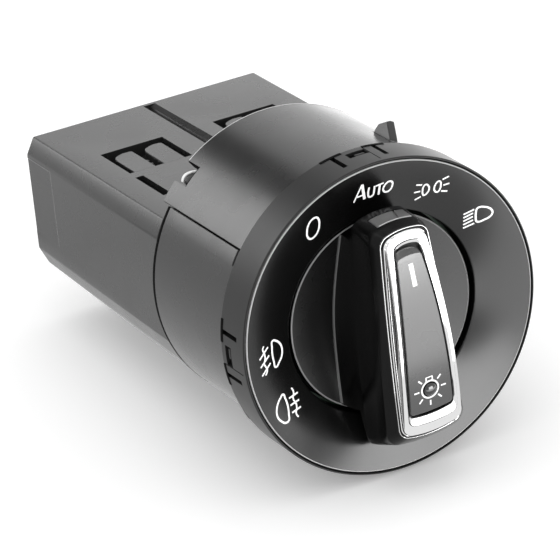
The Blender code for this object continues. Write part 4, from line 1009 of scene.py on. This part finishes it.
def softbox(name, place, target, size, watts, diffuse=False):
    """A rectangular soft light that looks at a point."""
    light = bpy.data.lights.new(name, "AREA")
    light.shape = "RECTANGLE"
    light.size, light.size_y = size
    light.energy = watts
    lamp = bpy.data.objects.new(name, light)
    lamp.location = place
    lamp.rotation_euler = (Vector(target) - Vector(place)).to_track_quat("-Z", "Y").to_euler()
    lamp.visible_camera = False
    lamp.visible_diffuse = diffuse
    bpy.context.collection.objects.link(lamp)


def toward(bearing_deg, height_deg, distance):
    """A place seen from the switch at a bearing from +Y towards +X and a height angle."""
    a, h = math.radians(bearing_deg), math.radians(height_deg)
    return Vector((math.sin(a) * math.cos(h), math.cos(a) * math.cos(h), math.sin(h))) * distance


def card(name, x, y, size, watts):
    """A bright card that lies on the slope of the cards and shines up from it."""
    place = CARD_SLOPE @ Vector((x, y, 0.01))
    softbox(name, place, place + CARD_SLOPE.to_3x3() @ Vector((0, 0, 1)), size, watts)


softbox("overhead_box", (-0.2, 0.1, 1.6), (0, 0.03, 0), (1.4, 1.4), 5, diffuse=True)
softbox("front_box", (0.34, -1.25, 0.1), (0, 0, 0.02), (1.12, 0.66), 18.5)
softbox("rear_right_box", toward(23, 20, 1.5), DRUM_MIDDLE, (0.76, 0.56), 0.85)
softbox("rear_left_box", toward(-25, 22, 1.5), DRUM_MIDDLE, (0.6, 0.64), 4.2)
card("near_card", 0.38, -0.605, (1.06, 0.95), 9.0)
card("far_card", 0.62, 0.55, (1.12, 1.2), 6.5)

# Camera as the photograph was taken, fitted to the drum, the case and the bezel
CAMERA_PLACE = (-0.468948, -0.886884, 0.445347)
CAMERA_RIGHT = Vector((0.869191, -0.484773, -0.097479))
CAMERA_DOWN = Vector((-0.273446, -0.306982, -0.911586))
CAMERA_FORWARD = Vector((0.411988, 0.818998, -0.399385))
CAMERA_LENS = 294.58
camera_data = bpy.data.cameras.new("camera")
camera_data.sensor_width = 36.0
camera_data.lens = CAMERA_LENS
camera = bpy.data.objects.new("camera", camera_data)
camera_turn = Matrix((CAMERA_RIGHT, -CAMERA_DOWN, -CAMERA_FORWARD)).transposed().to_4x4()
camera.matrix_world = Matrix.Translation(CAMERA_PLACE) @ camera_turn
bpy.context.collection.objects.link(camera)
bpy.context.scene.camera = camera
bpy.context.scene.view_settings.view_transform = "Standard"
